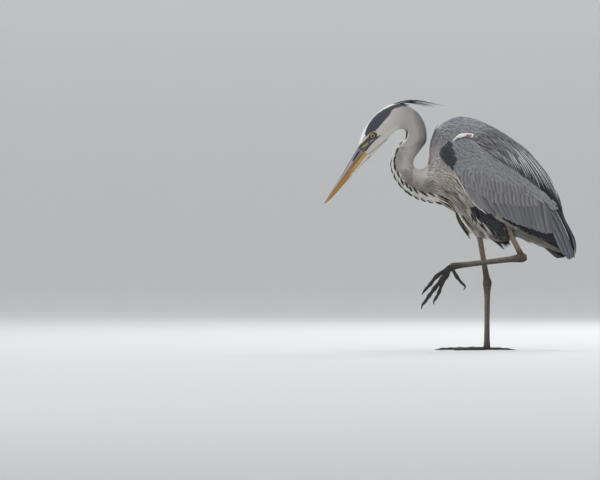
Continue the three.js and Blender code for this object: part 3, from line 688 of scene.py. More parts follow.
def paintSkin():
    mesh = skin.data
    region, station = skinAbout[:, 0].astype(int), skinAbout[:, 6]
    colour, bare = plumage(skinPoints, region, station)
    length, width, layers = coatSizes(region, station, bare, skinPoints)
    setTint(mesh, colour)
    setAttribute(mesh, "lie", "FLOAT_VECTOR", "POINT", skinLie)
    setAttribute(mesh, "size", "FLOAT_VECTOR", "POINT", np.stack([length, width, width], axis=-1) * mm)
    setAttribute(mesh, "density", "FLOAT", "POINT", layers / (length * width * 0.6) / mm ** 2)
    corner = np.array([polygon.vertices[0] for polygon in mesh.polygons])
    setAttribute(mesh, "coatRegion", "INT", "FACE", region[corner])
    root = np.concatenate([skinAbout[:, 1:3], np.zeros((len(region), 1))], axis=-1)
    setAttribute(mesh, "root", "FLOAT_VECTOR", "FACE", root[corner])
    setAttribute(mesh, "bare", "FLOAT", "POINT", bare)


paintSkin()
print("markings laid on the skin")


def newPaint(name):  # a material, its nodes and its shader
    paint = bpy.data.materials.new(name)
    paint.use_nodes = True
    return paint, paint.node_tree, paint.node_tree.nodes["Principled BSDF"]


def newGroup(name, inputs, outputs):
    group = bpy.data.node_groups.new(name, "ShaderNodeTree")
    for label, kind, value in inputs:
        socket = group.interface.new_socket(name=label, in_out="INPUT", socket_type=kind)
        if value is not None:
            socket.default_value = value
    for label, kind in outputs:
        group.interface.new_socket(name=label, in_out="OUTPUT", socket_type=kind)
    return group, group.nodes.new("NodeGroupInput"), group.nodes.new("NodeGroupOutput")


def addNode(tree, kind, settings=None, **links):
    node = tree.nodes.new(kind)
    for key, value in (settings or {}).items():
        setattr(node, key, value)
    for key, value in links.items():
        socket = node.inputs[int(key[1:])] if key[0] == "i" and key[1:].isdigit() else node.inputs[key]
        if isinstance(value, bpy.types.NodeSocket):
            tree.links.new(value, socket)
        else:
            socket.default_value = value
    return node


def mathNode(tree, operation, a, b=0.0):
    return addNode(tree, "ShaderNodeMath", {"operation": operation}, i0=a, i1=b).outputs[0]


def mapRange(tree, value, low, high, start=0.0, end=1.0):
    node = addNode(tree, "ShaderNodeMapRange", {"interpolation_type": "SMOOTHSTEP"},
                   i0=value, i1=low, i2=high, i3=start, i4=end)
    return node.outputs[0]


def mixColour(tree, mode, share, a, b):
    node = addNode(tree, "ShaderNodeMix", {"data_type": "RGBA", "blend_type": mode}, i0=share, i6=a, i7=b)
    return node.outputs[2]


def objectPlace(tree):
    return addNode(tree, "ShaderNodeTexCoord").outputs["Object"]


def readTint(tree):
    return addNode(tree, "ShaderNodeAttribute", {"attribute_name": "tint"}).outputs["Color"]


def addNoise(tree, place, scale, detail=3.0, **values):
    noise = addNode(tree, "ShaderNodeTexNoise", None, Vector=place, Scale=scale, Detail=detail, **values)
    return noise.outputs["Fac"]


def addCells(tree, place, scale, edge):  # 0 along the edges of small cells, 1 inside
    cells = addNode(tree, "ShaderNodeTexVoronoi", {"feature": "DISTANCE_TO_EDGE"}, Vector=place, Scale=scale)
    return mapRange(tree, cells.outputs["Distance"], 0.0, edge)


def lightened(tree, colour, light):  # a colour times a brightness
    grey = addNode(tree, "ShaderNodeCombineColor", None, i0=light, i1=light, i2=light).outputs[0]
    return mixColour(tree, "MULTIPLY", 1.0, colour, grey)


def aboutOne(tree, noise, spread):  # a noise spread evenly about 1
    return mapRange(tree, noise, 0.3, 0.7, 1 - spread, 1 + spread)


def addBump(tree, shader, height, strength, distance, **values):
    bump = addNode(tree, "ShaderNodeBump", None, Strength=strength, Distance=distance, Height=height,
                   **values)
    tree.links.new(bump.outputs["Normal"], shader.inputs["Normal"])
    return bump.outputs["Normal"]


def makeVaneGroup():
    # Barbs slant from the shaft to the edge. The outputs tell the shaft, the fringe and the barbs apart.
    group, given, made = newGroup("vaneMarks", [
        ("Vane", "NodeSocketVector", None), ("Barbs", "NodeSocketFloat", 40.0),
        ("Slant", "NodeSocketFloat", 0.6), ("Shaft", "NodeSocketFloat", 0.04),
        ("Fringe", "NodeSocketFloat", 0.16), ("Tip", "NodeSocketFloat", 1.0)],
        [("Barb", "NodeSocketFloat"), ("Shaft", "NodeSocketFloat"), ("Fringe", "NodeSocketFloat"),
         ("Along", "NodeSocketFloat")])
    split = addNode(group, "ShaderNodeSeparateXYZ", None, i0=given.outputs["Vane"])
    off = mathNode(group, "ABSOLUTE", mathNode(group, "SUBTRACT", split.outputs[0], 0.5))
    slanted = mathNode(group, "MULTIPLY", off, given.outputs["Slant"])
    ribs = mathNode(group, "MULTIPLY", mathNode(group, "SUBTRACT", split.outputs[1], slanted),
                    given.outputs["Barbs"])
    barb = mathNode(group, "ABSOLUTE", mathNode(group, "SUBTRACT", mathNode(group, "FRACT", ribs), 0.5))
    edge = mathNode(group, "MULTIPLY", off, 2.0)
    inner = mathNode(group, "SUBTRACT", 1.0, given.outputs["Fringe"])
    tip = mathNode(group, "MULTIPLY", mapRange(group, split.outputs[1], 0.93, 0.99), given.outputs["Tip"])
    shaft = mathNode(group, "LESS_THAN", off, given.outputs["Shaft"])
    fringe = mathNode(group, "MAXIMUM", mapRange(group, edge, inner, 1.0), tip)
    for name, value in (("Barb", barb), ("Shaft", shaft), ("Fringe", fringe), ("Along", split.outputs[1])):
        group.links.new(value, made.inputs[name])
    return group


vaneMarks = makeVaneGroup()
makeCamera()
makeStudio()
print("camera, light and floor made")


def featherMaterial(name, plan):
    # Colour comes from the tint attribute; the vane map gives the barbs, the shaft and the pale fringe.
    paint, tree, shader = newPaint(name)
    vane = addNode(tree, "ShaderNodeUVMap", {"uv_map": "vane"}).outputs["UV"]
    marks = addNode(tree, "ShaderNodeGroup", {"node_tree": vaneMarks}, Vane=vane, Barbs=plan["barbs"],
                    Slant=plan["slant"], Shaft=plan["shaft"], Fringe=plan["fringe"], Tip=plan["tipFringe"])
    mottle = addNoise(tree, objectPlace(tree), plan["mottle"], Roughness=0.6)
    light = aboutOne(tree, mottle, plan["vary"])
    rise = mapRange(tree, marks.outputs["Along"], 0.0, 0.8, plan["root"], 1.0)
    light = mathNode(tree, "MULTIPLY", light, rise)
    combed = mapRange(tree, marks.outputs["Barb"], 0.0, 0.5, 1 - plan["comb"], 1 + plan["comb"])
    colour = lightened(tree, readTint(tree), mathNode(tree, "MULTIPLY", light, combed))
    pale = mixColour(tree, "MIX", plan["paleShare"], colour, (*plan["paleTone"], 1))
    colour = mixColour(tree, "MIX", marks.outputs["Fringe"], colour, pale)
    stem = mixColour(tree, "MIX", plan["shaftShare"], colour, (*plan["shaftTone"], 1))
    colour = mixColour(tree, "MIX", marks.outputs["Shaft"], colour, stem)
    tree.links.new(colour, shader.inputs["Base Color"])
    height = mathNode(tree, "ADD", marks.outputs["Barb"], marks.outputs["Shaft"])
    addBump(tree, shader, height, plan["bump"], plan["depth"])
    rough = mapRange(tree, mottle, 0.3, 0.7, plan["rough"] - 0.06, plan["rough"] + 0.06)
    tree.links.new(rough, shader.inputs["Roughness"])
    shader.inputs["Specular IOR Level"].default_value = plan["gloss"]
    shader.inputs["Sheen Weight"].default_value = plan["sheen"]
    shader.inputs["Sheen Roughness"].default_value = 0.4
    return paint


downFinish = {
    "barbs": 9.0, "slant": 0.8, "shaft": 0.05, "fringe": 0.3, "mottle": 900.0, "vary": 0.06, "root": 0.9,
    "comb": 0.04, "paleShare": 0.1, "tipFringe": 1.0, "paleTone": tone(225, 224, 222), "shaftShare": 0.15,
    "shaftTone": tone(120, 118, 118), "bump": 0.25, "depth": 0.0004, "rough": 0.8, "gloss": 0.2, "sheen": 0.3}
downPaint = featherMaterial("contourFeathers", downFinish)


def makeVane(name, rows, widths, camber, droop):
    # A closed, pointed vane, one unit long and wide, root at the origin and lying along +X.
    ts = np.array(rows, float)
    verts, uvs = [(0, 0, 0)], [(0.5, 0.0)]
    for t, w in zip(ts, widths):
        sag = -droop * t * t
        verts += [(t, -w / 2, sag - camber * w), (t, 0, sag), (t, w / 2, sag - camber * w)]
        uvs += [(0.5 - w / 2, t), (0.5, t), (0.5 + w / 2, t)]
    verts.append((1, 0, -droop))
    uvs.append((0.5, 1.0))
    tip = len(verts) - 1
    faces = [(0, 1, 2), (0, 2, 3), (0, 3, 1)]
    for i in range(len(ts) - 1):
        a = 1 + 3 * i
        faces += [(a, a + 3, a + 4, a + 1), (a + 1, a + 4, a + 5, a + 2), (a + 2, a + 5, a + 3, a)]
    a = 1 + 3 * (len(ts) - 1)
    faces += [(a, tip, a + 1), (a + 1, tip, a + 2), (a + 2, tip, a)]
    mesh = closedMesh(name, verts, faces, 1.0)
    setMap(mesh, "vane", uvs)
    vane = newObject(name, mesh)
    vane.hide_render = True
    return vane


def makeScatterTree():
    # Vanes on random points of one region, laid along its coat, then sunk, lifted and ruffled a little.
    tree = bpy.data.node_groups.new("scatterCoat", "GeometryNodeTree")
    face = tree.interface
    for label, kind, value in (
            ("Geometry", "NodeSocketGeometry", None), ("Vane", "NodeSocketObject", None),
            ("Finish", "NodeSocketMaterial", None), ("Region", "NodeSocketInt", 0),
            ("Share", "NodeSocketFloat", 1.0), ("Lift", "NodeSocketFloat", 0.08),
            ("Ruffle", "NodeSocketFloat", 0.1), ("Sink", "NodeSocketFloat", 0.0004),
            ("Patch", "NodeSocketFloat", 0.003), ("Seed", "NodeSocketInt", 1)):
        socket = face.new_socket(name=label, in_out="INPUT", socket_type=kind)
        if value is not None:
            socket.default_value = value
    face.new_socket(name="Geometry", in_out="OUTPUT", socket_type="NodeSocketGeometry")
    given, made = tree.nodes.new("NodeGroupInput").outputs, tree.nodes.new("NodeGroupOutput")

    def named(name, kind):
        return addNode(tree, "GeometryNodeInputNamedAttribute", {"data_type": kind},
                       Name=name).outputs["Attribute"]

    same = addNode(tree, "FunctionNodeCompare", {"data_type": "INT", "operation": "EQUAL"},
                   i2=named("coatRegion", "INT"), i3=given["Region"]).outputs[0]
    dense = mathNode(tree, "MULTIPLY", named("density", "FLOAT"), given["Share"])
    spread = addNode(tree, "GeometryNodeDistributePointsOnFaces", {"distribute_method": "RANDOM"},
                     Mesh=given["Geometry"], Selection=same, Seed=given["Seed"])
    tree.links.new(dense, spread.inputs["Density"])
    sink = addNode(tree, "ShaderNodeVectorMath", {"operation": "SCALE"}, i0=spread.outputs["Normal"])
    tree.links.new(mathNode(tree, "MULTIPLY", given["Sink"], -1.0), sink.inputs["Scale"])
    sunk = addNode(tree, "GeometryNodeSetPosition", None, Geometry=spread.outputs["Points"],
                   Offset=sink.outputs[0])
    along = addNode(tree, "FunctionNodeAlignRotationToVector", {"axis": "X"},
                    Vector=named("lie", "FLOAT_VECTOR"))
    upright = addNode(tree, "FunctionNodeAlignRotationToVector", {"axis": "Z", "pivot_axis": "X"},
                      Rotation=along.outputs[0], Vector=spread.outputs["Normal"])
    roll = addNode(tree, "FunctionNodeRandomValue", {"data_type": "FLOAT"}, Seed=given["Seed"])
    yaw = addNode(tree, "FunctionNodeRandomValue", {"data_type": "FLOAT"},
                  Seed=mathNode(tree, "ADD", given["Seed"], 7.0))
    for node in (roll, yaw):
        tree.links.new(mathNode(tree, "MULTIPLY", given["Ruffle"], -1.0), node.inputs[2])
        tree.links.new(given["Ruffle"], node.inputs[3])
    lift = mathNode(tree, "MULTIPLY", given["Lift"], -1.0)
    euler = addNode(tree, "ShaderNodeCombineXYZ", None, X=roll.outputs[1], Y=lift,
                    Z=yaw.outputs[1]).outputs[0]
    turn = addNode(tree, "FunctionNodeEulerToRotation", None, i0=euler)
    rotated = addNode(tree, "FunctionNodeRotateRotation", {"rotation_space": "LOCAL"}, i0=upright.outputs[0],
                      i1=turn.outputs[0])
    grow = addNode(tree, "FunctionNodeRandomValue", {"data_type": "FLOAT"}, i2=0.78, i3=1.2,
                   Seed=mathNode(tree, "ADD", given["Seed"], 13.0))
    size = addNode(tree, "ShaderNodeVectorMath", {"operation": "SCALE"}, i0=named("size", "FLOAT_VECTOR"))
    tree.links.new(grow.outputs[1], size.inputs["Scale"])
    vane = addNode(tree, "GeometryNodeObjectInfo", None, Object=given["Vane"]).outputs["Geometry"]
    placed = addNode(tree, "GeometryNodeInstanceOnPoints", None, Points=sunk.outputs[0], Instance=vane,
                     Rotation=rotated.outputs[0], Scale=size.outputs[0])
    whole = addNode(tree, "GeometryNodeRealizeInstances", None, Geometry=placed.outputs[0])
    local = addNode(tree, "ShaderNodeVectorMath", {"operation": "SCALE"}, i0=named("vane", "FLOAT_VECTOR"))
    tree.links.new(given["Patch"], local.inputs["Scale"])
    patch = addNode(tree, "ShaderNodeVectorMath", {"operation": "ADD"}, i0=named("root", "FLOAT_VECTOR"),
                    i1=local.outputs[0])
    mapped = addNode(tree, "GeometryNodeStoreNamedAttribute", {"data_type": "FLOAT2", "domain": "CORNER"},
                     Geometry=whole.outputs[0], Name="OFBake", Value=patch.outputs[0])
    finish = addNode(tree, "GeometryNodeSetMaterial", None, Geometry=mapped.outputs[0],
                     Material=given["Finish"])
    tree.links.new(finish.outputs[0], made.inputs["Geometry"])
    return tree


scatterTree = makeScatterTree()


def growCoat(name, base, vane, finish, **values):
    carrier = newObject(name + "Base", base.data)
    modifier = carrier.modifiers.new("scatter", "NODES")
    modifier.node_group = scatterTree
    keys = {item.name: item.identifier for item in scatterTree.interface.items_tree if item.in_out == "INPUT"}
    for label, value in {"Vane": vane, "Finish": finish, **values}.items():
        modifier[keys[label]] = value
    mesh = applyModifiers(carrier)
    bpy.data.objects.remove(carrier)
    mesh.name = name
    for extra in ("lie", "size", "density", "coatRegion", "root", "bare"):
        if mesh.attributes.get(extra):
            mesh.attributes.remove(mesh.attributes[extra])
    shadeSmooth(mesh)
    print(name, "has", sum(len(p.vertices) - 2 for p in mesh.polygons), "triangles")
    return newObject(name, mesh)


vaneRows, vaneWidths = (0.18, 0.5, 0.8), (0.75, 1.0, 0.62)
tuftVane = makeVane("tuftVane", vaneRows, vaneWidths, 0.12, 0.06)
flatVane = makeVane("flatVane", vaneRows, vaneWidths, 0.06, 0.03)
for name, region, values in (
        ("headCoat", "head", {"Lift": 0.07, "Ruffle": 0.08, "Seed": 11}),
        ("neckCoat", "neck", {"Lift": 0.06, "Ruffle": 0.08, "Seed": 12}),
        ("breastCoat", "breast", {"Lift": 0.06, "Ruffle": 0.07, "Seed": 13}),
        ("backCoat", "back", {"Lift": 0.055, "Sink": 0.0, "Ruffle": 0.05, "Seed": 14}),
        ("thighCoat", "thigh", {"Lift": 0.08, "Ruffle": 0.12, "Seed": 15}),
        ("foldCoat", "fold", {"Lift": 0.06, "Ruffle": 0.10, "Seed": 16})):
    vane = flatVane if name == "backCoat" else tuftVane
    growCoat(name, skin, vane, downPaint, Region=skinPlan["regions"][region], **values)


# Long feathers are closed, arched vanes laid along curves.
chance = np.random.default_rng(4)


def bodyNormal(s, angle, off, side):
    ahead = onBody(s + 1.0, angle, off, side) - onBody(s - 1.0, angle, off, side)
    around = onBody(s, angle + 0.02, off, side) - onBody(s, angle - 0.02, off, side)
    return unit(np.cross(ahead, around)) * -side


def bendLine(root, middle, tip, ts):  # quadratic curves, feathers x rows x 2
    a, b, c = (1 - ts) ** 2, 2 * ts * (1 - ts), ts ** 2
    return root[:, None] * a[:, None] + middle[:, None] * b[:, None] + tip[:, None] * c[:, None]


def vaneHalf(ts, half, tipShare=0.22, rootWidth=0.35, power=0.5):  # half widths, feathers x rows
    opening = rootWidth + (1 - rootWidth) * ease(ts, 0, 0.25)
    closing = np.clip((1 - ts) / tipShare, 0, 1)
    rounding = (1 - (1 - closing) ** 2) ** power
    return half[:, None] * np.maximum(opening * rounding, 0.04)[None]


def tipRows(count, power=1.5):  # rows that crowd towards the tip
    return 1 - (1 - np.linspace(0, 1, count)) ** power


def stripMesh(name, line, out, half, tint, across, arch, tilt):
    # Line and out are feathers x rows x 3, half is feathers x rows, tint is feathers x rows x across x 3.
    count, rows = line.shape[:2]
    along = unit(np.gradient(line, axis=1))
    side = unit(np.cross(out, along))
    out = unit(np.cross(along, side))
    a = np.linspace(-1, 1, across + 1)
    tilt = np.broadcast_to(np.asarray(tilt, float), (count,))
    rise = arch * (1 - a ** 2)[None, None] + tilt[:, None, None] * a
    points = (line[:, :, None] + side[:, :, None] * (half[..., None] * a)[..., None]
              + out[:, :, None] * (half[..., None] * rise)[..., None])
    wide = across + 1
    index = np.arange(count * rows * wide).reshape(count, rows, wide)
    top = np.stack([index[:, :-1, :-1], index[:, 1:, :-1], index[:, 1:, 1:], index[:, :-1, 1:]], axis=-1)
    under = np.stack([index[:, :-1, 0], index[:, :-1, -1], index[:, 1:, -1], index[:, 1:, 0]], axis=-1)
    faces = top.reshape(-1, 4)[:, ::-1].tolist() + under.reshape(-1, 4)[:, ::-1].tolist()
    faces += index[:, 0].tolist() + index[:, -1, ::-1].tolist()
    mesh = plainMesh(name, points.reshape(-1, 3) * mm, faces)
    setTint(mesh, tint)

    # The vane map runs across and along each vane; the bake map gives each vane a cell of its own.
    loops = np.empty(len(mesh.loops), np.int32)
    mesh.loops.foreach_get("vertex_index", loops)
    u = np.broadcast_to((a + 1) / 2, (count, rows, wide)).ravel()[loops]
    v = np.broadcast_to(np.linspace(0, 1, rows)[None, :, None] if rows < 3 else stripAlong(line)[..., None],
                        (count, rows, wide)).ravel()[loops]
    layer = mesh.uv_layers.new(name="vane")
    layer.data.foreach_set("uv", np.stack([u, v], axis=-1).astype(np.float32).ravel())
    columns = max(1, int(math.sqrt(count * 3)))
    lines = -(-count // columns)
    which = loops // (rows * wide)
    cellU = ((which % columns) + 0.06 + 0.88 * u) / columns
    cellV = ((which // columns) + 0.04 + 0.92 * v) / lines
    layer = mesh.uv_layers.new(name="OFBake")
    layer.data.foreach_set("uv", np.stack([cellU, cellV], axis=-1).astype(np.float32).ravel())
    shadeSmooth(mesh)
    return mesh


def stripAlong(line):
    steps = np.linalg.norm(np.diff(line, axis=1), axis=-1)
    run = np.concatenate([np.zeros((len(line), 1)), np.cumsum(steps, axis=1)], axis=1)
    return run / run[:, -1:]


def makeStrips(name, groups, finish, across, arch):
    # Each group holds line, out, half, tint, tilt and, if it has one, a shade across the vane.
    line, out = (np.concatenate([group[k] for group in groups]) for k in (0, 1))
    half = np.concatenate([group[2] for group in groups])
    tints, tilts, shades = [], [], []
    for group in groups:
        count, tint = len(group[0]), group[3]
        tints.append(np.broadcast_to(tint[:, None] if tint.ndim == 2 else tint, group[0].shape))
        tilts.append(np.broadcast_to(group[4], (count,)))
        shades.append(np.broadcast_to(group[5] if len(group) > 5 else 1.0, (count, across + 1)))
    tint = np.concatenate(tints)[:, :, None] * np.concatenate(shades)[:, None, :, None]
    tilt = np.concatenate(tilts)
    mesh = stripMesh(name, line, out, half, tint, across, arch, tilt)
    mesh.materials.append(finish)
    print(name, "has", len(line), "feathers")
    return newObject(name, mesh)


def bodyStrips(root, middle, tip, off, half, tint, side, rows=12, tilt=0.0, byAngle=False, **shape):
    # Root, bend and tip are (s, height) or (s, angle); off is how far the root and the tip lie off the body.
    ts = tipRows(rows)
    path = bendLine(root, middle, tip, ts)
    s = path[..., 0]
    angle = path[..., 1] if byAngle else angleAt(s, path[..., 1])
    lift = off[:, 0:1] + (off[:, 1:2] - off[:, 0:1]) * ease(ts, 0, 1)[None]
    line = onBody(s, angle, lift, side)
    return line, bodyNormal(s, angle, lift, side), vaneHalf(ts, half, **shape), tint, tilt * side


def pairsOf(rows):  # root, bend and tip from rows of six values
    return rows[:, 0:2], rows[:, 2:4], rows[:, 4:6]


def partOf(root, middle, tip, start, end):  # a stretch of the same quadratic curves
    a, b = start[:, None], end[:, None]
    at = lambda t: root * (1 - t) ** 2 + middle * 2 * t * (1 - t) + tip * t ** 2
    return at(a), root * (1 - a) * (1 - b) + middle * (a + b - 2 * a * b) + tip * a * b, at(b)


def heights(count, low, high):  # root and tip of each feather, over what it lies on
    return np.stack([np.broadcast_to(np.asarray(v, float), (count,)) for v in (low, high)], axis=-1)


def varied(colour, count, spread=0.08):  # one colour, a little lighter or darker from feather to feather
    return colour[None] * (1 + spread * chance.standard_normal((count, 1))).clip(0.6, 1.5)


# Folded wings: rows of coverts over the dark flight feathers.
longAcross = 6  # facets across each long feather
wingPlan = {
    "covertSpacing": 8.0,
    "covert": tone(133, 134, 139), "covertLow": tone(132, 131, 135), "secondary": tone(113, 113, 117),
    "remex": tone(40, 40, 44), "teal": tone(108, 113, 120), "ridge": tone(78, 79, 84),
    "pinkish": tone(104, 100, 105), "black": tone(24, 24, 26), "dark": tone(48, 48, 52),
    "white": tone(208, 203, 212),
}
covertFinish = dict(downFinish, barbs=16.0, slant=0.5, shaft=0.03, fringe=0.2, mottle=420.0, vary=0.06,
                    root=0.97, comb=0.03, paleShare=0.1, shaftShare=0.06, bump=0.15)
longFinish = dict(covertFinish, barbs=60.0, slant=0.25, fringe=0.12, tipFringe=0.2, paleShare=0.3,
                  paleTone=tone(190, 190, 194), shaft=0.03, shaftShare=0.3, shaftTone=tone(84, 84, 90),
                  mottle=260.0, root=0.94)
flightFinish = dict(longFinish, fringe=0.1, paleShare=0.25, paleTone=tone(150, 152, 158), rough=0.62,
                    sheen=0.05, shaftShare=0.5, shaftTone=tone(52, 50, 50))
darkFinish = dict(flightFinish, paleShare=0.06, rough=0.7)
covertPaint = featherMaterial("wingCoverts", covertFinish)
longPaint = featherMaterial("longCoverts", longFinish)
flightPaint = featherMaterial("flightFeathers", flightFinish)
darkPaint = featherMaterial("darkFeathers", darkFinish)


def covertField(side):
    # Small coverts in rows over the wing, longer and steeper towards its lower edge.
    ds = wingPlan["covertSpacing"]
    rows = []
    for k, share in enumerate(np.arange(0.03, 0.99, 0.062)):
        s = np.arange(6 + (k % 2) * ds / 2, 262, ds * (0.8 + 0.5 * share))
        s = s + chance.uniform(-1.4, 1.4, len(s))
        high, low = wingHigh(s), wingLow(s)
        h = low + (high - low) * (1 - share) + chance.uniform(-1.2, 1.2, len(s))
        rows.append(np.stack([s, h, np.full(len(s), share)], axis=-1))
    field = np.concatenate(rows)
    limit = smoothTable([(50, 0.9), (72, 0.76), (94, 0.63), (141, 0.40), (190, 0.2), (230, 0.14)])
    field = field[(field[:, 2] < limit(field[:, 0])) & (field[:, 0] < 250)]
    s, h, share = field.T
    length = 13 + 9 * ease(s, 10, 120) + 13 * ease(share, 0.25, 0.75) * ease(s, 30, 130)
    length = length * chance.uniform(0.9, 1.12, len(s))
    dip = 2 + 12 * share + 26 * ease(s, 60, 190) * ease(share, 0.05, 0.6)
    dip = np.radians(dip + chance.normal(0, 3, len(s)))
    root = np.stack([s, h], axis=-1)
    step = np.stack([np.cos(dip), -np.sin(dip)], axis=-1) * length[:, None]
    tip = root + step
    middle = root + step * 0.5 + np.stack([0 * s, length * 0.03], axis=-1)
    half = (3.4 + 1.6 * ease(s, 10, 100) + 1.0 * ease(share, 0.2, 0.8)) * chance.uniform(0.9, 1.1, len(s))
    base = 4.6 - 1.6 * share
    off = heights(len(s), base - 1.4, base + 0.6 + chance.uniform(-0.12, 0.12, len(s)))
    tint = varied(wingPlan["covert"], len(s), 0.05)
    return bodyStrips(root, middle, tip, off, half, tint, side, rows=7, tilt=0.0, tipShare=0.5, rootWidth=0.5)


# Shade across a vane: darker where the next one lies over it, paler at the exposed front edge.
frontShade = [(-1, 0.6), (0, 0.64), (0.33, 0.8), (0.67, 1.0), (1, 1.3)]
deepFront = [(-1, 0.25), (0, 0.4), (0.4, 0.9), (1, 1.1)]


def vaneShade(side, table):
    return np.interp(np.linspace(-1, 1, longAcross + 1) * side, *np.array(table).T)


def rowStrips(plan, count, side, tint, halfs, off, tilt, tipShare):
    # A row of long feathers: plan gives (share, root s, root h, bend s, bend h, tip s, tip h) along the row.
    q = (np.arange(count) + 0.5) / count
    at = curveTable(plan)(q)
    at = at + chance.normal(0, 0.6, at.shape)
    half = np.interp(q, [0, 1], halfs) * chance.uniform(0.95, 1.05, count)
    offs = heights(count, *off) + 0.25 * (np.arange(count) % 2)[:, None]  # neighbours lie over and under
    root, middle, tip = pairsOf(at)
    return bodyStrips(root, middle, tip, offs, half, tint, side, rows=14, tilt=tilt, tipShare=tipShare)


frontRow = [(0, 48, 18, 72, -8, 112, -22), (0.35, 72, 14, 100, -16, 146, -24),
            (1, 104, 12, 136, -18, 184, -20)]
vaneRow = [(0, 120, 20, 148, -6, 190, -8), (0.27, 150, 48, 176, 18, 230, 5), (0.6, 184, 72, 211, 38, 262, 19),
           (0.9, 215, 90, 250, 54, 294, 32), (1, 228, 98, 268, 66, 297, 40)]
medianRow = [(0, 52, 16, 60, -1, 78, -13), (0.22, 89, 25, 96.5, 6.5, 116, -4),
             (0.45, 133, 32, 140.5, 13.5, 160, 3), (0.63, 161, 51, 168.5, 32.5, 188, 22),
             (0.82, 188, 70, 195.5, 51.5, 215, 41), (1, 212, 88, 219.5, 72, 239, 63)]
upperRow = [(0, 71, 33, 78.5, 15.5, 96, 6), (0.36, 115, 47, 122.5, 29.5, 140, 20),
            (0.68, 147, 69, 154.5, 51.5, 172, 42), (1, 175, 86, 182.5, 71, 200, 62)]
remexRow = [(0, 120, 52, 170, 26, 196, -13), (0.4, 160, 66, 214, 36, 245, 0),
            (0.75, 200, 78, 258, 50, 296, 17), (1, 226, 84, 290, 58, 330, 27)]
rearRow = [(0, 226, 58, 272, 34, 300, 18), (0.5, 246, 62, 300, 36, 340, 18), (1, 254, 70, 316, 46, 367, 24)]
# Row, how many feathers, half widths, heights off the body, then the tone, or the tilt and the tip's share.
longRows = [
    (frontRow, 12, (6.6, 7.6), (0.8, 2.6), "covertLow"), (vaneRow, 12, (9, 9.5), (1.4, 3.2), "secondary"),
    (medianRow, 19, (6.3, 7), (2.4, 4.2), "covertLow"), (upperRow, 14, (5.5, 6), (3.0, 4.6), "covertLow")]
darkRows = [(remexRow, 14, (8, 9), (-0.6, 0.8), 0.1, 0.1), (rearRow, 7, (5, 5.5), (-1.6, -0.4), 0.05, 0.15)]
# Folded primaries: root, bend and tip along and up, half width, tone and heights off the body.
primaryFeathers = [
    ((262, 90), (312, 74), (371, 32), 6.0, "dark", (-0.8, 0.2)),
    ((262, 86), (306, 72), (360, 42), 4.5, "black", (-0.2, 0.8)),
    ((262, 98), (314, 80), (367, 40), 6.0, "pinkish", (0.6, 1.6)),
    ((240, 64), (300, 46), (352, 22), 6.5, "teal", (0.2, 1.2)),
    ((244, 70), (304, 54), (366, 23), 6.5, "teal", (0.8, 2.0)),
    ((248, 78), (306, 64), (368, 28), 6.0, "teal", (1.4, 2.8)),
    ((262, 81), (300, 68), (336, 50), 1.1, "white", (2.6, 4.2))]
tertialRow = [(0, 196, 98, 232, 96, 262, 80), (0.5, 206, 103, 240, 100, 274, 84),
              (1, 215, 107, 246, 103, 282, 88)]

# Long coverts that close over the ridge between the wing tips: along, degrees up, three times.
ridgeRow = [(262, 74, 304, 72, 352, 66), (256, 80, 300, 78, 358, 76), (248, 85, 294, 84, 362, 84),
            (240, 88, 288, 88, 366, 88)]


def makeWings():
    small, long, flight, dark = [], [], [], []
    plan = wingPlan
    for side in sides.values():
        shade, deepShade = (vaneShade(side, table) for table in (frontShade, deepFront))
        small.append(covertField(side))
        for row, n, halfs, off, colour in longRows:
            tint = varied(plan[colour], n, 0.05)
            long.append(rowStrips(row, n, side, tint, halfs, off, 0.15, 0.16) + (shade,))
        for row, n, halfs, off, tilt, tipShare in darkRows:
            dark.append(rowStrips(row, n, side, varied(plan["remex"], n, 0.06), halfs, off, tilt, tipShare))
        for root, middle, tip, half, colour, off in primaryFeathers:
            tint = plan[colour] * chance.uniform(0.95, 1.05, (1, 1))
            ends = (np.array([point], float) for point in (root, middle, tip))
            group = bodyStrips(*ends, np.array([off]), np.array([half]), tint, side, rows=16, tilt=0.14,
                               tipShare=0.13 if half > 2 else 0.5)
            flight.append(group + (deepShade if colour == "pinkish" else shade,))
        tint = varied(plan["remex"], 5, 0.08)
        dark.append(rowStrips(tertialRow, 5, side, tint, (5.2, 6), (1.6, 4.2), 0.1, 0.2))
        n = len(ridgeRow)
        ridge = np.array(ridgeRow, float)
        ridge[:, 1::2] = np.radians(ridge[:, 1::2])
        off = heights(n, np.linspace(0.6, 1.4, n), np.linspace(2.2, 3.2, n))
        dark.append(bodyStrips(*pairsOf(ridge), off, np.full(n, 6.5), varied(plan["ridge"], n, 0.06), side,
                               rows=14, byAngle=True, tipShare=0.2))
    makeStrips("wingCoverts", small, covertPaint, across=4, arch=0.07)
    makeStrips("longCoverts", long, longPaint, across=longAcross, arch=0.14)
    makeStrips("remiges", dark, darkPaint, across=4, arch=0.12)
    return makeStrips("primaries", flight, flightPaint, across=longAcross, arch=0.2)


primaries = makeWings()

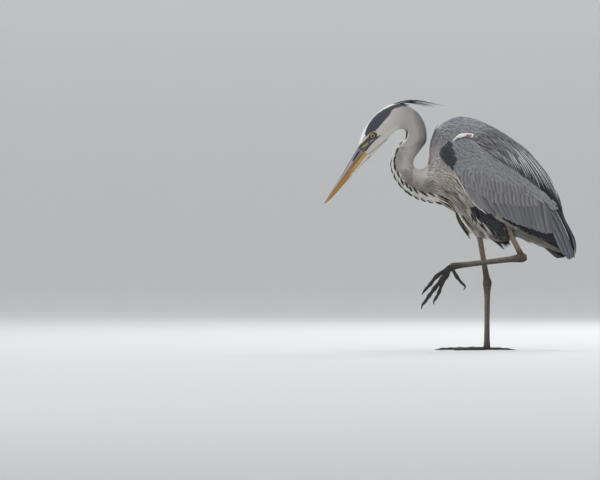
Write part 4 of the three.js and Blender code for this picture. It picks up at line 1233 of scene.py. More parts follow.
# Shoulder plumes fall over the wing's upper edge and the back.
plumePlan = {
    "run": curveTable([
        (-0.35, 34, 69, 66, 74, 104, 72), (-0.18, 36, 80, 76, 82, 113, 75), (0, 40, 92, 84, 88, 122, 76),
        (0.15, 52, 100, 100, 90, 134, 77), (0.4, 64, 112, 120, 102, 162, 82),
        (0.6, 78, 118, 143, 112, 197, 83), (0.8, 96, 124, 176, 124, 243, 88),
        (0.9, 100, 127, 180, 130, 246, 96), (1, 104, 131, 182, 132, 250, 104),
        (1.12, 108, 137, 188, 138, 256, 112)]),
    # How many, half width, tone, share of the run where the tip lies, its length, heights off the body.
    "layers": [(34, 3.0, "grey", (0.22, 0.5), (0.25, 0.5), (0.2, 1.0)),
               (56, 3.2, "grey", (0.45, 0.85), (0.5, 0.75), (0.3, 1.4)),
               (34, 2.8, "grey", (0.75, 0.96), (0.6, 0.85), (0.4, 1.9)),
               # The narrow dark plumes are painted shade: they stand for the shaded gaps between the plumes
               # where their tips lie over the wing.
               (28, 1.4, "dark", (0.7, 0.97), (0.7, 0.95), (0.4, 2.3)),
               (27, 1.05, "silver", (0.84, 1.0), (0.9, 1.05), (1.2, 3.6))],
    "silver": tone(206, 206, 212), "grey": tone(92, 92, 97), "dark": tone(58, 59, 64),
}
plumeFinish = dict(longFinish, barbs=80.0, slant=0.3, fringe=0.2, paleShare=0.1, shaft=0.05, shaftShare=0.2,
                   shaftTone=tone(190, 190, 195), vary=0.1, root=0.85, comb=0.05)
plumePaint = featherMaterial("shoulderPlumes", plumeFinish)


def makePlumes():
    groups = []
    plan = plumePlan
    for side in sides.values():
        for n, half, colour, reach, length, lift in plan["layers"]:
            q = (np.arange(n) + chance.uniform(0.2, 0.8, n)) / n * 1.45 - 0.35
            end = chance.uniform(*reach, n)
            start = (end - chance.uniform(*length, n)).clip(0)
            run = plan["run"](q) + chance.normal(0, 1.2, (n, 6))
            root, middle, tip = partOf(*pairsOf(run), start, end)
            over = 5.6 * (1 - ease(np.degrees(angleAt(tip[:, 0], tip[:, 1])), 34, 62))
            off = heights(n, lift[0], lift[1] + over)
            tint = varied(plan[colour], n, 0.07)[:, None]
            if colour != "grey":  # narrow plumes show only past their soft grey roots
                shown = ease(tipRows(14), 0.03, 0.3)[None] * (0.35 + 0.65 * ease(q, 0, 0.5))[:, None]
                tint = blend(plan["grey"], tint, shown)
            groups.append(bodyStrips(root, middle, tip, off, half * chance.uniform(0.88, 1.12, n), tint, side,
                                     rows=14, tilt=0.08, tipShare=0.55, power=0.8))
    return makeStrips("shoulderPlumes", groups, plumePaint, across=2, arch=0.34)


makePlumes()


# Dark feathers at the bend of the wing, and the white ones over the wrist.
wristPlan = {
    "line": [(0, -0.4, 38.8), (0.2, -0.1, 46.9), (0.4, 2.6, 55.4), (0.6, 8.7, 61.7), (0.8, 15.3, 67.5),
             (1, 25, 74)],
    "strands": 4, "each": 9, "white": tone(238, 236, 233), "pink": tone(150, 122, 124),
    "dark": tone(50, 56, 64),
}


def makeWrists():
    groups = []
    plan = wristPlan
    for side in sides.values():
        s, h = np.meshgrid(np.arange(-8, 42, 4.2), np.arange(-11, 42, 3.6), indexing="ij")
        s = (s + 2.1 * (np.arange(s.shape[1]) % 2)[None]).ravel() + chance.uniform(-1, 1, s.size)
        h = h.ravel() + chance.uniform(-1, 1, h.size)
        root = np.stack([s, h], axis=-1)
        step = np.stack([0 * s + 1, -0.16 - 0.012 * (20 - h)], axis=-1)
        step = step * chance.uniform(10, 14, len(s))[:, None]
        keep = insideShape(*(root + 0.85 * step).T, carpalShape, 0.5) > 0.5
        root, step, s = root[keep], step[keep], s[keep]
        off = heights(len(s), 3.6, 5.9)
        groups.append(bodyStrips(root, root + step * 0.5, root + step, off, chance.uniform(2.4, 3.2, len(s)),
                                 varied(plan["dark"], len(s), 0.12), side, rows=10, tipShare=0.5,
                                 rootWidth=0.6))
        curve = curveTable(plan["line"])
        for strand in range(plan["strands"]):
            t0 = np.linspace(0, 0.8, plan["each"]) + chance.uniform(-0.03, 0.03, plan["each"])
            span = 0.24
            shift = np.array([0.5, -0.85]) * (strand - 1.5) * 1.45
            shift = shift * (0.3 + 0.7 * ease(t0, 0.05, 0.35))[:, None]
            root, middle, tip = (curve(np.clip(t0 + k * span, 0, 1.0)) + shift for k in (0, 0.5, 1))
            tint = np.where((t0 > 0.5)[:, None] & (t0 < 0.78)[:, None] & (strand > 0), plan["pink"],
                            plan["white"])
            off = heights(len(t0), 6.0, 9.2 - 0.4 * strand)
            groups.append(bodyStrips(root, middle, tip, off, 1.2 + 0.9 * ease(t0, 0.05, 0.35), tint, side,
                                     rows=10, tipShare=0.5, rootWidth=0.6))
    return makeStrips("wristFeathers", groups, covertPaint, across=2, arch=0.3)


makeWrists()


# Feathers laid on the skin itself find it by casting rays.
castFrom, castNear = 200.0, 3.0  # how far out a ray starts, and where the nearest skin is looked for
skinTree = BVHTree.FromPolygons([tuple(p) for p in skinPoints],
                                [tuple(f.vertices) for f in skin.data.polygons])


def smoothAlong(values, rounds=2):
    for _ in range(rounds):
        inner = (values[:, :-2] + 2 * values[:, 1:-1] + values[:, 2:]) / 4
        values = np.concatenate([values[:, :1], inner, values[:, -1:]], axis=1)
    return values


def castSide(x, z, side, off):
    # Where lines across the body first meet the skin; past its outline the nearest skin is taken.
    points, normals = np.zeros(x.shape + (3,)), np.zeros(x.shape + (3,))
    for i, (px, pz) in enumerate(zip(x.ravel(), z.ravel())):
        hit = skinTree.ray_cast(Vector((px, side * castFrom, pz)), Vector((0, -side, 0)))
        if hit[0] is None:
            hit = skinTree.find_nearest(Vector((px, side * castNear, pz)))
            where = np.array([px, hit[0].y, pz])
        else:
            where = np.array(hit[0])
        points.reshape(-1, 3)[i], normals.reshape(-1, 3)[i] = where, np.array(hit[1])
    normals = unit(smoothAlong(normals, 3))
    return smoothAlong(points) + normals * off, normals


def sideStrips(lines, starts, lengths, share, off, half, tint, side, rows=12, tilt=0.0, **shape):
    # Feathers along flow lines seen from the side. lines(share, t) gives x and z; each feather runs over
    # starts..starts+lengths of its own line.
    ts = tipRows(rows)
    t = starts[:, None] + lengths[:, None] * ts[None]
    flat = lines(np.broadcast_to(share[:, None], t.shape), t)
    lift = off[:, 0:1] + (off[:, 1:2] - off[:, 0:1]) * ease(ts, 0, 1)[None]
    line, out = castSide(flat[..., 0], flat[..., 1], side, lift[..., None])
    return line, out, vaneHalf(ts, half, **shape), tint, tilt * side


def flowLines(rows):  # rows of (share, x, z, x, z, x, z, x, z): four points along each line
    table = curveTable(rows)

    def at(share, t):
        p = table(share)
        p = p.reshape(p.shape[:-1] + (4, 2))
        t = np.clip(t, -0.15, 1.15) * 3
        i = np.clip(np.floor(t), 0, 2).astype(int)
        f = (t - i)[..., None]
        index = lambda k: np.clip(k, 0, 3)[..., None, None].repeat(2, -1)
        a, b, c, d = (np.take_along_axis(p, index(i + k), axis=-2)[..., 0, :] for k in (-1, 0, 1, 2))
        a = np.where((i == 0)[..., None], 2 * b - c, a)
        d = np.where((i == 2)[..., None], 2 * c - b, d)
        square, cube = 2 * a - 5 * b + 4 * c - d, 3 * b - 3 * c + d - a
        return 0.5 * (2 * b + (c - a) * f + square * f ** 2 + cube * f ** 3)

    return at


breastPlan = {
    "lines": flowLines([
        (0, -110, 393.8, -94.6, 392.7, -77, 387.2, -61.6, 371.8),
        (0.2, -118.8, 382.8, -96.8, 380.6, -74.8, 374, -55, 352),
        (0.4, -123.2, 369.6, -101.2, 367.4, -77, 356.4, -52.8, 332.2),
        (0.6, -125.4, 358.6, -103.4, 354.2, -79.2, 343.2, -50.6, 312.4),
        (0.8, -129.8, 349.8, -105.6, 344.3, -77, 330, -46.2, 292.6),
        (1, -125.4, 336.6, -101.2, 331.1, -74.8, 315.7, -44, 272.8)]),
    "edgeLines": flowLines([
        (0, -79.2, 398.2, -59.4, 365.2, -37.4, 332.2, -8.8, 301.4),
        (1, -74.8, 397.1, -53.9, 363, -30.8, 327.8, -2.2, 299.2)]),
    "thighMarks": flowLines([
        (0, -38, 300, -34, 290, -29, 277, -25, 262), (1, -31, 312, -25, 300, -17, 288, -9, 278)]),
    # The hanging points: distance to the side at root and tip, the tip's x and z, half width and tone.
    "points": [
        (10, 7, -35.5, 243.5, 2.4, "black"), (5, 4, -38, 247, 2.6, "black"),
        (13, 11, -37.5, 251, 2.2, "brown"), (16, 14, -33, 259, 2.0, "cream"), (8, 8, -44, 262, 1.8, "black"),
        (3, 1.5, -41, 255, 2.4, "brown"), (18, 18, -27, 262, 1.7, "brown"), (12, 13, -31, 252, 1.8, "cream")],
    "count": 150, "cream": tone(226, 216, 201), "pinkGrey": tone(186, 177, 172), "brown": tone(54, 42, 36),
    "black": tone(34, 30, 29), "white": tone(228, 224, 216),
}
streakFinish = dict(downFinish, barbs=50.0, slant=0.3, fringe=0.25, paleShare=0.15, root=0.92, comb=0.05,
                    bump=0.3)
streakPaint = featherMaterial("breastPlumes", streakFinish)


def makeBreast():
    groups = []
    plan = breastPlan
    for side in sides.values():
        n = plan["count"]
        share = chance.uniform(0, 1, n)
        start = chance.uniform(0.06, 0.7, n)
        length = chance.uniform(0.36, 0.56, n)
        kind = chance.random(n) + 0.04 * (share - 0.5)
        tint = np.where((kind < 0.42)[:, None], plan["pinkGrey"], plan["cream"])
        dark = (kind > 0.6) & (start > 0.1)
        tint = np.where(dark[:, None], plan["brown"], tint) * chance.uniform(0.9, 1.08, (n, 1))
        along = start[:, None] + length[:, None] * tipRows(14)
        shown = ease(along, 0.08, 0.4) * (0.8 + 0.2 * share[:, None])
        tint = tones["sideBreast"] + (tint[:, None] - tones["sideBreast"]) * shown[..., None]
        place = plan["lines"](share[:, None], along)
        tint = tint * chestShade(place[..., 0], place[..., 1]) ** 0.5
        half = np.where(dark, 1.0, 1.5) * chance.uniform(0.85, 1.15, n)
        off = heights(n, 0.2, np.where(dark, 2.1, 1.5) + chance.uniform(0, 0.5, n))
        groups.append(sideStrips(plan["lines"], start, length, share, off, half, tint, side, rows=14,
                                 tilt=0.06, tipShare=0.6, power=0.8))

        # A pale line of feathers in front of the wing, and black marks behind it.
        n = 22
        edge = plan["edgeLines"]
        start, share = np.linspace(0, 0.78, n), chance.uniform(0, 1, n)
        off = heights(n, 1.0, 4.6)
        groups.append(sideStrips(edge, start, np.full(n, 0.24), share, off, 0.8 + 0.6 * ease(start, 0, 0.4),
                                 varied(plan["white"], n, 0.04), side, rows=14, tipShare=0.5, power=0.8))
        n = 10
        start, share = np.linspace(0.2, 0.86, n), np.full(n, 1.2)
        off = heights(n, 1.0, 5.6)
        groups.append(sideStrips(lambda q, t: edge(q, t) + np.array([1.6, 1.6]), start, np.full(n, 0.16),
                                 share, off, np.full(n, 1.2), varied(plan["black"], n, 0.1), side, rows=14,
                                 tipShare=0.5, power=0.8))

        # Black marks in front of the thigh, and the dark points that hang under the breast.
        n = 9
        share, start = np.linspace(0, 1, n), chance.uniform(0, 0.4, n)
        off = heights(n, 0.6, 2.4)
        tint = varied(plan["black"], n, 0.1)
        groups.append(sideStrips(plan["thighMarks"], start, np.full(n, 0.5), share, off, np.full(n, 1.5),
                                 tint, side, rows=14, tipShare=0.5, power=0.8))
    return makeStrips("breastPlumes", groups, streakPaint, across=2, arch=0.4)


makeBreast()
freeScatter = 0.0  # millimetres that the tips of free feathers stray; the strays are drawn at any scatter


def freeStrips(points, half, tint, out, **shape):
    # Feathers along whole curves in space: points is feathers x points of the curve x 3.
    ts = tipRows(14, 1.2)
    line = np.stack([alongCurve(curve, ts) for curve in points])
    line = line + chance.normal(0, 1, (len(line), 1, 3)) * freeScatter * ts[None, :, None]
    out = np.broadcast_to(np.asarray(out, float), line.shape)
    return line, out, vaneHalf(ts, half, **shape), tint, 0.0


def makeHangingPoints():
    # The long dark points of the breast hang free under its end.
    groups = []
    plan = breastPlan
    for side in sides.values():
        for k, (y0, y1, tipX, tipZ, half, colour) in enumerate(plan["points"]):
            start = np.array([-70 + 2.0 * k, side * (y0 + 3), 312 - 1.5 * k])
            end = np.array([tipX, side * y1, tipZ])
            bulge = np.array([-5.0, side * 1.5, -1.0]) * (1 - 0.09 * k)
            points = np.stack([start, blend(start, end, 0.36) + bulge, blend(start, end, 0.7) + bulge * 0.7,
                               end])
            tint = varied(plan[colour], 1, 0.08)
            groups.append(freeStrips(points[None], np.array([half]), tint, (-0.25, side, 0.1), tipShare=0.55,
                                     power=0.8))
    return makeStrips("breastPoints", groups, streakPaint, across=2, arch=0.4)


makeHangingPoints()


# The rows of marks down the foreneck, on both sides of it. Each mark runs through three points, x and z, and
# has a half width.
dashPlan = {
    "blackMarks": [
        (-179.1, 486.2, -174.2, 475.2, -177.3, 460.9, 1.32),
        (-193.2, 446.6, -197.6, 436.7, -200.2, 426.8, 1.32),
        (-199.8, 429, -202.4, 418, -202, 407, 1.54),
        (-202.4, 411.4, -201.5, 402.6, -198.9, 393.8, 1.76),
        (-195.8, 394.9, -194.5, 387.2, -190.5, 378.4, 1.54),
        (-190.1, 381.7, -186.6, 371.8, -180.8, 361.9, 1.65),
        (-179.5, 369.6, -176, 363, -172, 356, 1.54),
        (-171.6, 361.9, -167.6, 355.3, -163.2, 348.5, 1.65),
        (-162.8, 358.6, -157.3, 352, -150, 344.5, 1.65),
        (-151.8, 352.4, -140.8, 346.7, -127.6, 338.4, 1.76),
        (-131.1, 348, -122.1, 343.6, -111.8, 337, 1.65),
        (-113.5, 343.6, -99, 337.5, -83.6, 328.7, 1.32),
        (-193.6, 448.8, -188.1, 453.2, -183.7, 456.3, 0.99),
        (-208.1, 422.4, -209.2, 411.4, -208.6, 400.4, 0.77),
        (-208.6, 404.8, -207.2, 396, -204.2, 387.2, 1.1),
        (-204.6, 389.4, -201.1, 380.6, -195.8, 371.8, 1.21),
        (-197.1, 374, -190.3, 364.3, -182.6, 355.5, 1.21),
        (-183.7, 357.3, -177.1, 350.7, -171.6, 346.3, 1.32),
        (-176, 352, -169.4, 345.4, -161.9, 339.7, 1.76),
        (-161.5, 341.4, -154.9, 337, -147.4, 332.6, 1.43),
        (-147.4, 336.2, -139.7, 331.3, -131.1, 328.2, 1.32),
        (-132, 330, -124.3, 326.9, -116.6, 325.2, 1.1),
        (-114.8, 329.1, -106.5, 325.2, -97.2, 321.6, 1.54),
        (-95.9, 325.6, -88, 321.2, -77, 313.7, 1.21)],
    "brownMarks": [
        (-79.2, 316.8, -70.4, 309.1, -59.4, 294.8, 0.99)],
    "whiteMarks": [
        (-178.2, 482.9, -176.9, 475.2, -181.3, 463.1, 1.32),
        (-180.8, 466.4, -187, 459.8, -192.5, 452.1, 1.1),
        (-190.3, 455.4, -197.1, 446.6, -201.5, 437.8, 1.76),
        (-200.2, 441.1, -203.7, 431.2, -205.5, 420.2, 1.87),
        (-204.8, 424.6, -206.4, 414.7, -205.9, 404.8, 1.87),
        (-206.4, 409.2, -205.5, 399.3, -202, 390.5, 1.87),
        (-202.8, 394.9, -198.9, 385.9, -193.6, 378.4, 1.87),
        (-194.9, 381.5, -189.2, 372.2, -182.6, 363.9, 1.76),
        (-184.4, 366.5, -178.6, 358.6, -171.6, 351.1, 1.76),
        (-173.8, 355.1, -167.2, 348, -158.4, 342.3, 1.76)],
    "creamMarks": [
        (-160.6, 345.8, -150.7, 340.1, -140.8, 335.3, 1.76),
        (-145.2, 340.6, -134.2, 334.8, -123.2, 330.9, 1.76),
        (-127.6, 335.7, -116.6, 331.8, -103.4, 327.4, 1.54),
        (-107.8, 332.2, -94.6, 327.8, -81.4, 320.3, 1.54)],
    "tones": {"blackMarks": tone(26, 24, 25), "brownMarks": tone(96, 80, 72),
              "whiteMarks": tone(240, 238, 232), "creamMarks": tone(222, 214, 202)},
    "lifts": {"blackMarks": 2.3, "brownMarks": 2.2, "whiteMarks": 1.3, "creamMarks": 1.3},
}


def makeDashes():
    groups = []
    ts = tipRows(12, 1.2)
    for side in sides.values():
        for name, colour in dashPlan["tones"].items():
            marks = np.array(dashPlan[name], float)
            a, b, c = marks[:, 0:2], marks[:, 2:4], marks[:, 4:6]
            flat = bendLine(a, 2 * b - (a + c) / 2, c, ts)
            lift = -0.4 + (dashPlan["lifts"][name] + 0.4) * ease(ts, 0, 0.5)
            line, out = castSide(flat[..., 0], flat[..., 1], side, lift[None, :, None])
            # The marks turn a little to the side, so that those along the edge still show.
            out = unit(out + np.array([0, 0.8 * side, 0]))
            turned = np.abs(out[..., 1]).mean(axis=1).clip(0.5, 1)
            half = vaneHalf(ts, 1.2 * marks[:, 6] / turned, tipShare=0.45, power=0.7, rootWidth=0.5)
            groups.append((line, out, half, varied(colour, len(marks), 0.06), 0.0))
    return makeStrips("neckDashes", groups, streakPaint, across=2, arch=0.3)


makeDashes()


# The dark flank, the thigh's fringe and the undertail.
flankPlan = {
    "lines": flowLines([
        (0, -32, 312, -27, 288, -6, 266, 22, 236), (0.35, -24, 314, -14, 288, 8, 264, 32, 234),
        (0.7, -10, 310, 2, 287, 26, 270, 42, 240), (1, 6, 306, 20, 286, 44, 272, 52, 246)]),
    "count": 120, "black": tone(17, 19, 24), "white": tone(196, 192, 186),
    "thighLines": flowLines([
        (0, -36, 292, -31, 274, -22, 258, -12, 243), (0.5, -24, 286, -16, 268, -4, 253, 6, 240),
        (1, -10, 278, 0, 262, 10, 249, 20, 237)]),
    "pale": tone(196, 192, 184),
    "ventLines": flowLines([
        (0, 30, 272, 50, 258, 76, 247, 104, 234), (0.5, 34, 286, 62, 270, 92, 254, 122, 236),
        (1, 40, 300, 74, 282, 108, 262, 140, 240)]),
    "vent": tone(162, 158, 149),
    # Lines, how many feathers, tone and its spread, the first line, how far down they start, length, height
    # of the roots, heights of the tips, half widths, and how much more the lowest tips hang off.
    "fields": [("ventLines", 80, "vent", 0.07, -0.05, 0.62, 0.36, 0.2, (1.4, 3.0), (1.6, 2.8), 1.5),
               ("thighLines", 60, "pale", 0.06, 0, 0.66, 0.34, 0.3, (1.6, 3.0), (1.2, 2.0), 0.0)],
}


def makeFlanks():
    groups = []
    plan = flankPlan
    for side in sides.values():
        for lines, n, colour, spread, firstShare, reach, length, base, rise, halfs, hang in plan["fields"]:
            share, start = chance.uniform(firstShare, 1, n), chance.uniform(0, reach, n)
            tint = varied(plan[colour], n, spread)
            off = heights(n, base, chance.uniform(*rise, n) + hang * (start > 0.5))
            groups.append(sideStrips(plan[lines], start, np.full(n, length), share, off,
                                     chance.uniform(*halfs, n), tint, side, rows=12, tipShare=0.6, power=0.8))
        n = plan["count"]
        share, start = chance.uniform(0, 1, n), chance.uniform(-0.02, 0.8, n)
        white = (chance.random(n) < 0.5) & (share < 0.33) & (start > 0.15) & (start < 0.45)
        tint = np.where(white[:, None], plan["white"], varied(plan["black"], n, 0.14))
        off = heights(n, 0.8, chance.uniform(2.4, 4.2, n) + 1.0 * white)
        groups.append(sideStrips(plan["lines"], start, chance.uniform(0.3, 0.38, n), share, off,
                                 np.where(white, 1.25, 2.2) * chance.uniform(0.85, 1.15, n), tint,
                                 side, rows=12, tilt=0.1, tipShare=0.6, power=0.8))
    return makeStrips("flankFeathers", groups, streakPaint, across=2, arch=0.35)


makeFlanks()

tailPlan = {
    "feathers": 12, "start": 226, "end": 355, "rise": 15.5, "vane": 6.5,
    "half": smoothTable([(226, 18), (244, 22), (300, 28), (354, 26)]),
    "peak": smoothTable([(226, 12), (244, 14), (300, 17), (354, 18.5)]),
    "top": tone(76, 78, 84), "dark": tone(52, 52, 57), "pale": tone(132, 129, 121),
    # The tail's coverts: height over the tail, how many, tone and share of the tail's length.
    "coverts": [(1.6, 9, tone(120, 122, 131), 0.5), (-2.4, 11, tone(176, 172, 164), 0.56)],
    "covertStart": 214,
    # The pale feathers at its sides: their height and their distance from the middle, along the body.
    "line": smoothTable([(180, -34), (220, -20), (240, -12), (270, -2), (300, 9.5), (325, 16), (340, 21)]),
    "flare": smoothTable([(190, 30), (240, 31), (270, 28), (300, 27), (340, 24)]),
}


def makeTail():
    plan = tailPlan
    n = plan["feathers"]
    at = np.linspace(-1, 1, n)
    ts = tipRows(18)
    s = plan["start"] + (plan["end"] - 9 * np.abs(at[:, None]) ** 2 - plan["start"]) * ts[None]
    y = at[:, None] * (plan["half"](s) - 7) * (0.9 + 0.1 * ts[None])
    h = plan["peak"](s) - plan["rise"] * (y / plan["half"](s)) ** 2 - 1.5 * np.abs(at[:, None])
    line = toWorld(s, y, h)
    up = toWorld(0 * s, 0 * y, 0 * h + 1) - toWorld(0 * s, 0 * y, 0 * h)
    lean = toWorld(0 * s, y, 0 * h) - toWorld(0 * s, 0 * y, 0 * h)
    out = unit(up + 0.7 * lean / plan["half"](s)[..., None])
    half = vaneHalf(ts, np.full(n, plan["vane"]), tipShare=0.1, rootWidth=0.5)
    tint = blend(varied(plan["top"], n, 0.06)[:, None], plan["dark"], ease(ts, 0.6, 1.0)[None] * 0.75)
    groups = [(line, out, half, tint, 0.12 * np.sign(-at))]

    # The tail's coverts, above and below.
    for height, count, colour, reach in plan["coverts"]:
        at = np.linspace(-0.92, 0.92, count)
        first = plan["covertStart"]
        s = first + (plan["end"] - first) * reach * ts[None] * chance.uniform(0.85, 1.05, (count, 1))
        y = at[:, None] * (plan["half"](s) - 5) * 0.95
        h = plan["peak"](s) - plan["rise"] * (y / plan["half"](s)) ** 2 + height
        line = toWorld(s, y, h)
        out = np.broadcast_to(unit(up[:1]) * np.sign(height), line.shape)
        half = vaneHalf(ts, np.full(count, 5.2), tipShare=0.3)
        groups.append((line, out, half, varied(colour, count, 0.05), 0.05))

    # Pale feathers along each side of the tail, under the wing tips.
    end = np.array([280.0, 300, 322, 340])
    at = lambda s: np.stack([s, plan["line"](s)], axis=-1)
    for side in sides.values():
        path = bendLine(at(end - 84), at(end - 42), at(end), ts)
        flare = plan["flare"](path[..., 0]) + 0.5 * np.arange(4)[::-1, None]
        line = toWorld(path[..., 0], side * flare, path[..., 1])
        out = unit(np.array([0.0, side, -0.35]) + 0 * line)
        tint = varied(plan["pale"], 4, 0.04)[:, None] * (1 - 0.35 * ease(ts, 0.4, 1))[None, :, None]
        groups.append((line, out, vaneHalf(ts, np.array([8.5, 8, 6.8, 5.4]), tipShare=0.3), tint, 0.05 * side,
                       vaneShade(side, frontShade)))
    return makeStrips("tailFeathers", groups, flightPaint, across=longAcross, arch=0.16)


tailFeathers = makeTail()

# The crest: a long plume, a short one, and stubs at their roots.
crestPlan = {
    "long": [(-214, 2.4, 536.5), (-203, 2.4, 541.3), (-180.4, 2.6, 547.8), (-158.4, 3, 549.6),
             (-136.4, 3.6, 546.7), (-112.2, 4, 541.2), (-88, 4.4, 536.1)],
    "short": [(-208, 2.4, 537), (-198, 2.4, 540.2), (-180, 2.6, 544.6), (-165, 3, 545.4),
              (-138.6, 3.6, 541.2), (-107.8, 4, 533.5)],
    "stub": [(-200, 3.5, 536), (-190, 3.8, 540.5), (-180, 4, 541.8), (-170, 4.4, 539)],
    "black": tone(40, 40, 48),
    # Each bunch: its curve, strands, how far they spread, and half width.
    "bunches": [("long", 5, 0.7, 1.15), ("short", 4, 0.75, 1.1), ("stub", 6, 1.6, 0.8)],
}


def makeCrest():
    groups = []
    plan = crestPlan
    for side in sides.values():
        for name, strands, spread, half in plan["bunches"]:
            if (name, side) in (("long", 1), ("short", -1)):  # the long plume grows on the left
                continue
            for strand in range(strands):
                curve = np.array(plan[name]) * [1, side, 1]
                around = 2 * math.pi * strand / strands
                shift = np.array([0, math.cos(around), math.sin(around)]) * spread
                reach = 1.0 - 0.07 * strand if name != "stub" else 0.75 + 0.05 * strand
                grow = np.linspace(1, 0.25, len(curve))[:, None]
                curve = curve[0] + (curve - curve[0]) * [reach, 1, 0.5 + 0.5 * reach] + shift * grow
                groups.append(freeStrips(curve[None], np.array([half]), varied(plan["black"], 1, 0.1),
                                         (0.15, side * 1.2, 1), tipShare=0.8, power=0.9, rootWidth=0.6))
    return makeStrips("crest", groups, streakPaint, across=2, arch=0.5)


crest = makeCrest()


# Tones of the eye and its lids, how far the cornea bulges and the grain of the iris.
eyePlan = {
    "iris": tone(176, 160, 84), "irisInner": tone(140, 118, 52), "rim": tone(34, 30, 24),
    "pupil": (0.004, 0.004, 0.005), "lid": tone(38, 38, 44), "lidEdge": tone(96, 92, 74), "bulge": 1.1,
    "grain": 1600.0,
}


def makeEyes():
    # Each ball turns its pole outwards; "gaze" is the share of the way from the pupil's middle, and the turn.
    rings, around = 40, 48
    balls, gaze = [], []
    for side in sides.values():
        a = np.linspace(0.03, math.pi - 0.03, rings)
        t = fullTurn(around)
        ag, tg = np.meshgrid(a, t, indexing="ij")
        radius = eye["ball"] + eyePlan["bulge"] * np.exp(-(ag / 0.5) ** 2)
        ball = np.stack([np.sin(ag) * np.cos(tg), np.cos(ag) * side, np.sin(ag) * np.sin(tg)], axis=-1)
        ball = ball * radius[..., None]
        balls.append(ball + eye["at"] * [1, side, 1])
        gaze += np.stack([ag, tg / (2 * math.pi)], axis=-1).reshape(-1, 2).tolist()
    verts, faces = joinGrids(balls)
    mesh = closedMesh("eyes", verts, faces)
    setMap(mesh, "gaze", gaze)
    paint, tree, shader = newPaint("eyeGlaze")
    uv = addNode(tree, "ShaderNodeUVMap", {"uv_map": "gaze"}).outputs["UV"]
    split = addNode(tree, "ShaderNodeSeparateXYZ", None, i0=uv)
    grain = addNoise(tree, objectPlace(tree), eyePlan["grain"])
    spokes = addNode(tree, "ShaderNodeCombineXYZ", None, X=mathNode(tree, "MULTIPLY", split.outputs[1], 60.0),
                     Y=mathNode(tree, "MULTIPLY", split.outputs[0], 3.0)).outputs[0]
    fibre = addNoise(tree, spokes, 1.0, 2.0)
    stray = mathNode(tree, "MULTIPLY", mathNode(tree, "SUBTRACT", grain, 0.5), 0.03)
    out = mathNode(tree, "ADD", split.outputs[0], stray)
    inner, outer = eyePlan["irisInner"], eyePlan["iris"]
    iris = mixColour(tree, "MIX", mapRange(tree, fibre, 0.35, 0.65), (*inner, 1), (*outer, 1))
    iris = mixColour(tree, "MIX", mapRange(tree, out, 0.36, 0.5), (*(inner * 0.7), 1), iris)
    colour = mixColour(tree, "MIX", mapRange(tree, out, 0.36, 0.385), (*eyePlan["pupil"], 1), iris)
    colour = mixColour(tree, "MIX", mapRange(tree, out, 0.68, 0.76), colour, (*eyePlan["rim"], 1))
    tree.links.new(colour, shader.inputs["Base Color"])
    tree.links.new(mapRange(tree, grain, 0.3, 0.7, 0.06, 0.1), shader.inputs["Roughness"])
    addBump(tree, shader, fibre, 0.04, 0.0002)
    shader.inputs["Coat Weight"].default_value = 0.35
    shader.inputs["Coat Roughness"].default_value = 0.03
    mesh.materials.append(paint)
    return newObject("eyes", mesh)


eyes = makeEyes()


def makeLids():
    # A thick rim round each eye, drawn out a little to the front and back corners.
    rims, edge = [], []
    around, section = 64, 12
    turn = fullTurn(around)
    ring = fullTurn(section)
    along = np.array([-0.66, -0.75])  # towards the bill
    across = np.array([-0.75, 0.66])
    for side in sides.values():
        tg, rg = np.meshgrid(turn, ring, indexing="ij")
        wide = 6.3 + 0.9 * np.cos(tg) ** 6 * np.where(np.cos(tg) < 0, 1.7, 0.8)
        radial = 0.5 + 0.95 * np.cos(rg)
        lift = 0.8 * np.sin(rg)
        u = (wide + radial) * np.cos(tg)
        v = (5.9 + radial) * np.sin(tg)
        x = eye["at"][0] + u * along[0] + v * across[0]
        z = eye["at"][2] + u * along[1] + v * across[1]
        flat = np.hypot(u, v)
        rim = np.sqrt(np.maximum((eye["ball"] + 0.5) ** 2 - np.minimum(flat, 7.0) ** 2, 1.0)) + eye["at"][1]
        surface = np.zeros_like(x)
        for i in range(around):
            hit = skinTree.ray_cast(Vector((x[i, 0], side * 60, z[i, 0])), Vector((0, -side, 0)))
            surface[i] = abs(hit[0].y) if hit[0] is not None else 14.0
        y = np.maximum(np.minimum(rim, 17.4), surface - 0.2) + rim.clip(surface - 0.4, surface + 1.6)
        y = 0.5 * y + lift
        rims.append(np.stack([x, side * y, z], axis=-1))
        edge += (0.5 + 0.5 * np.cos(rg)).ravel().tolist()
    verts, faces = joinGrids(rims, closeEnds=False)
    for start in (0, around * section):  # each rim's last ring meets its first
        last = start + (around - 1) * section
        for k in range(section):
            after = (k + 1) % section
            faces.append([last + k, last + after, start + after, start + k])
    mesh = closedMesh("lids", verts, faces)
    tint = blend(eyePlan["lidEdge"], eyePlan["lid"], ease(np.array(edge), 0.05, 0.35))
    setTint(mesh, tint)
    mesh.materials.append(barePaint)
    return newObject("lids", mesh)


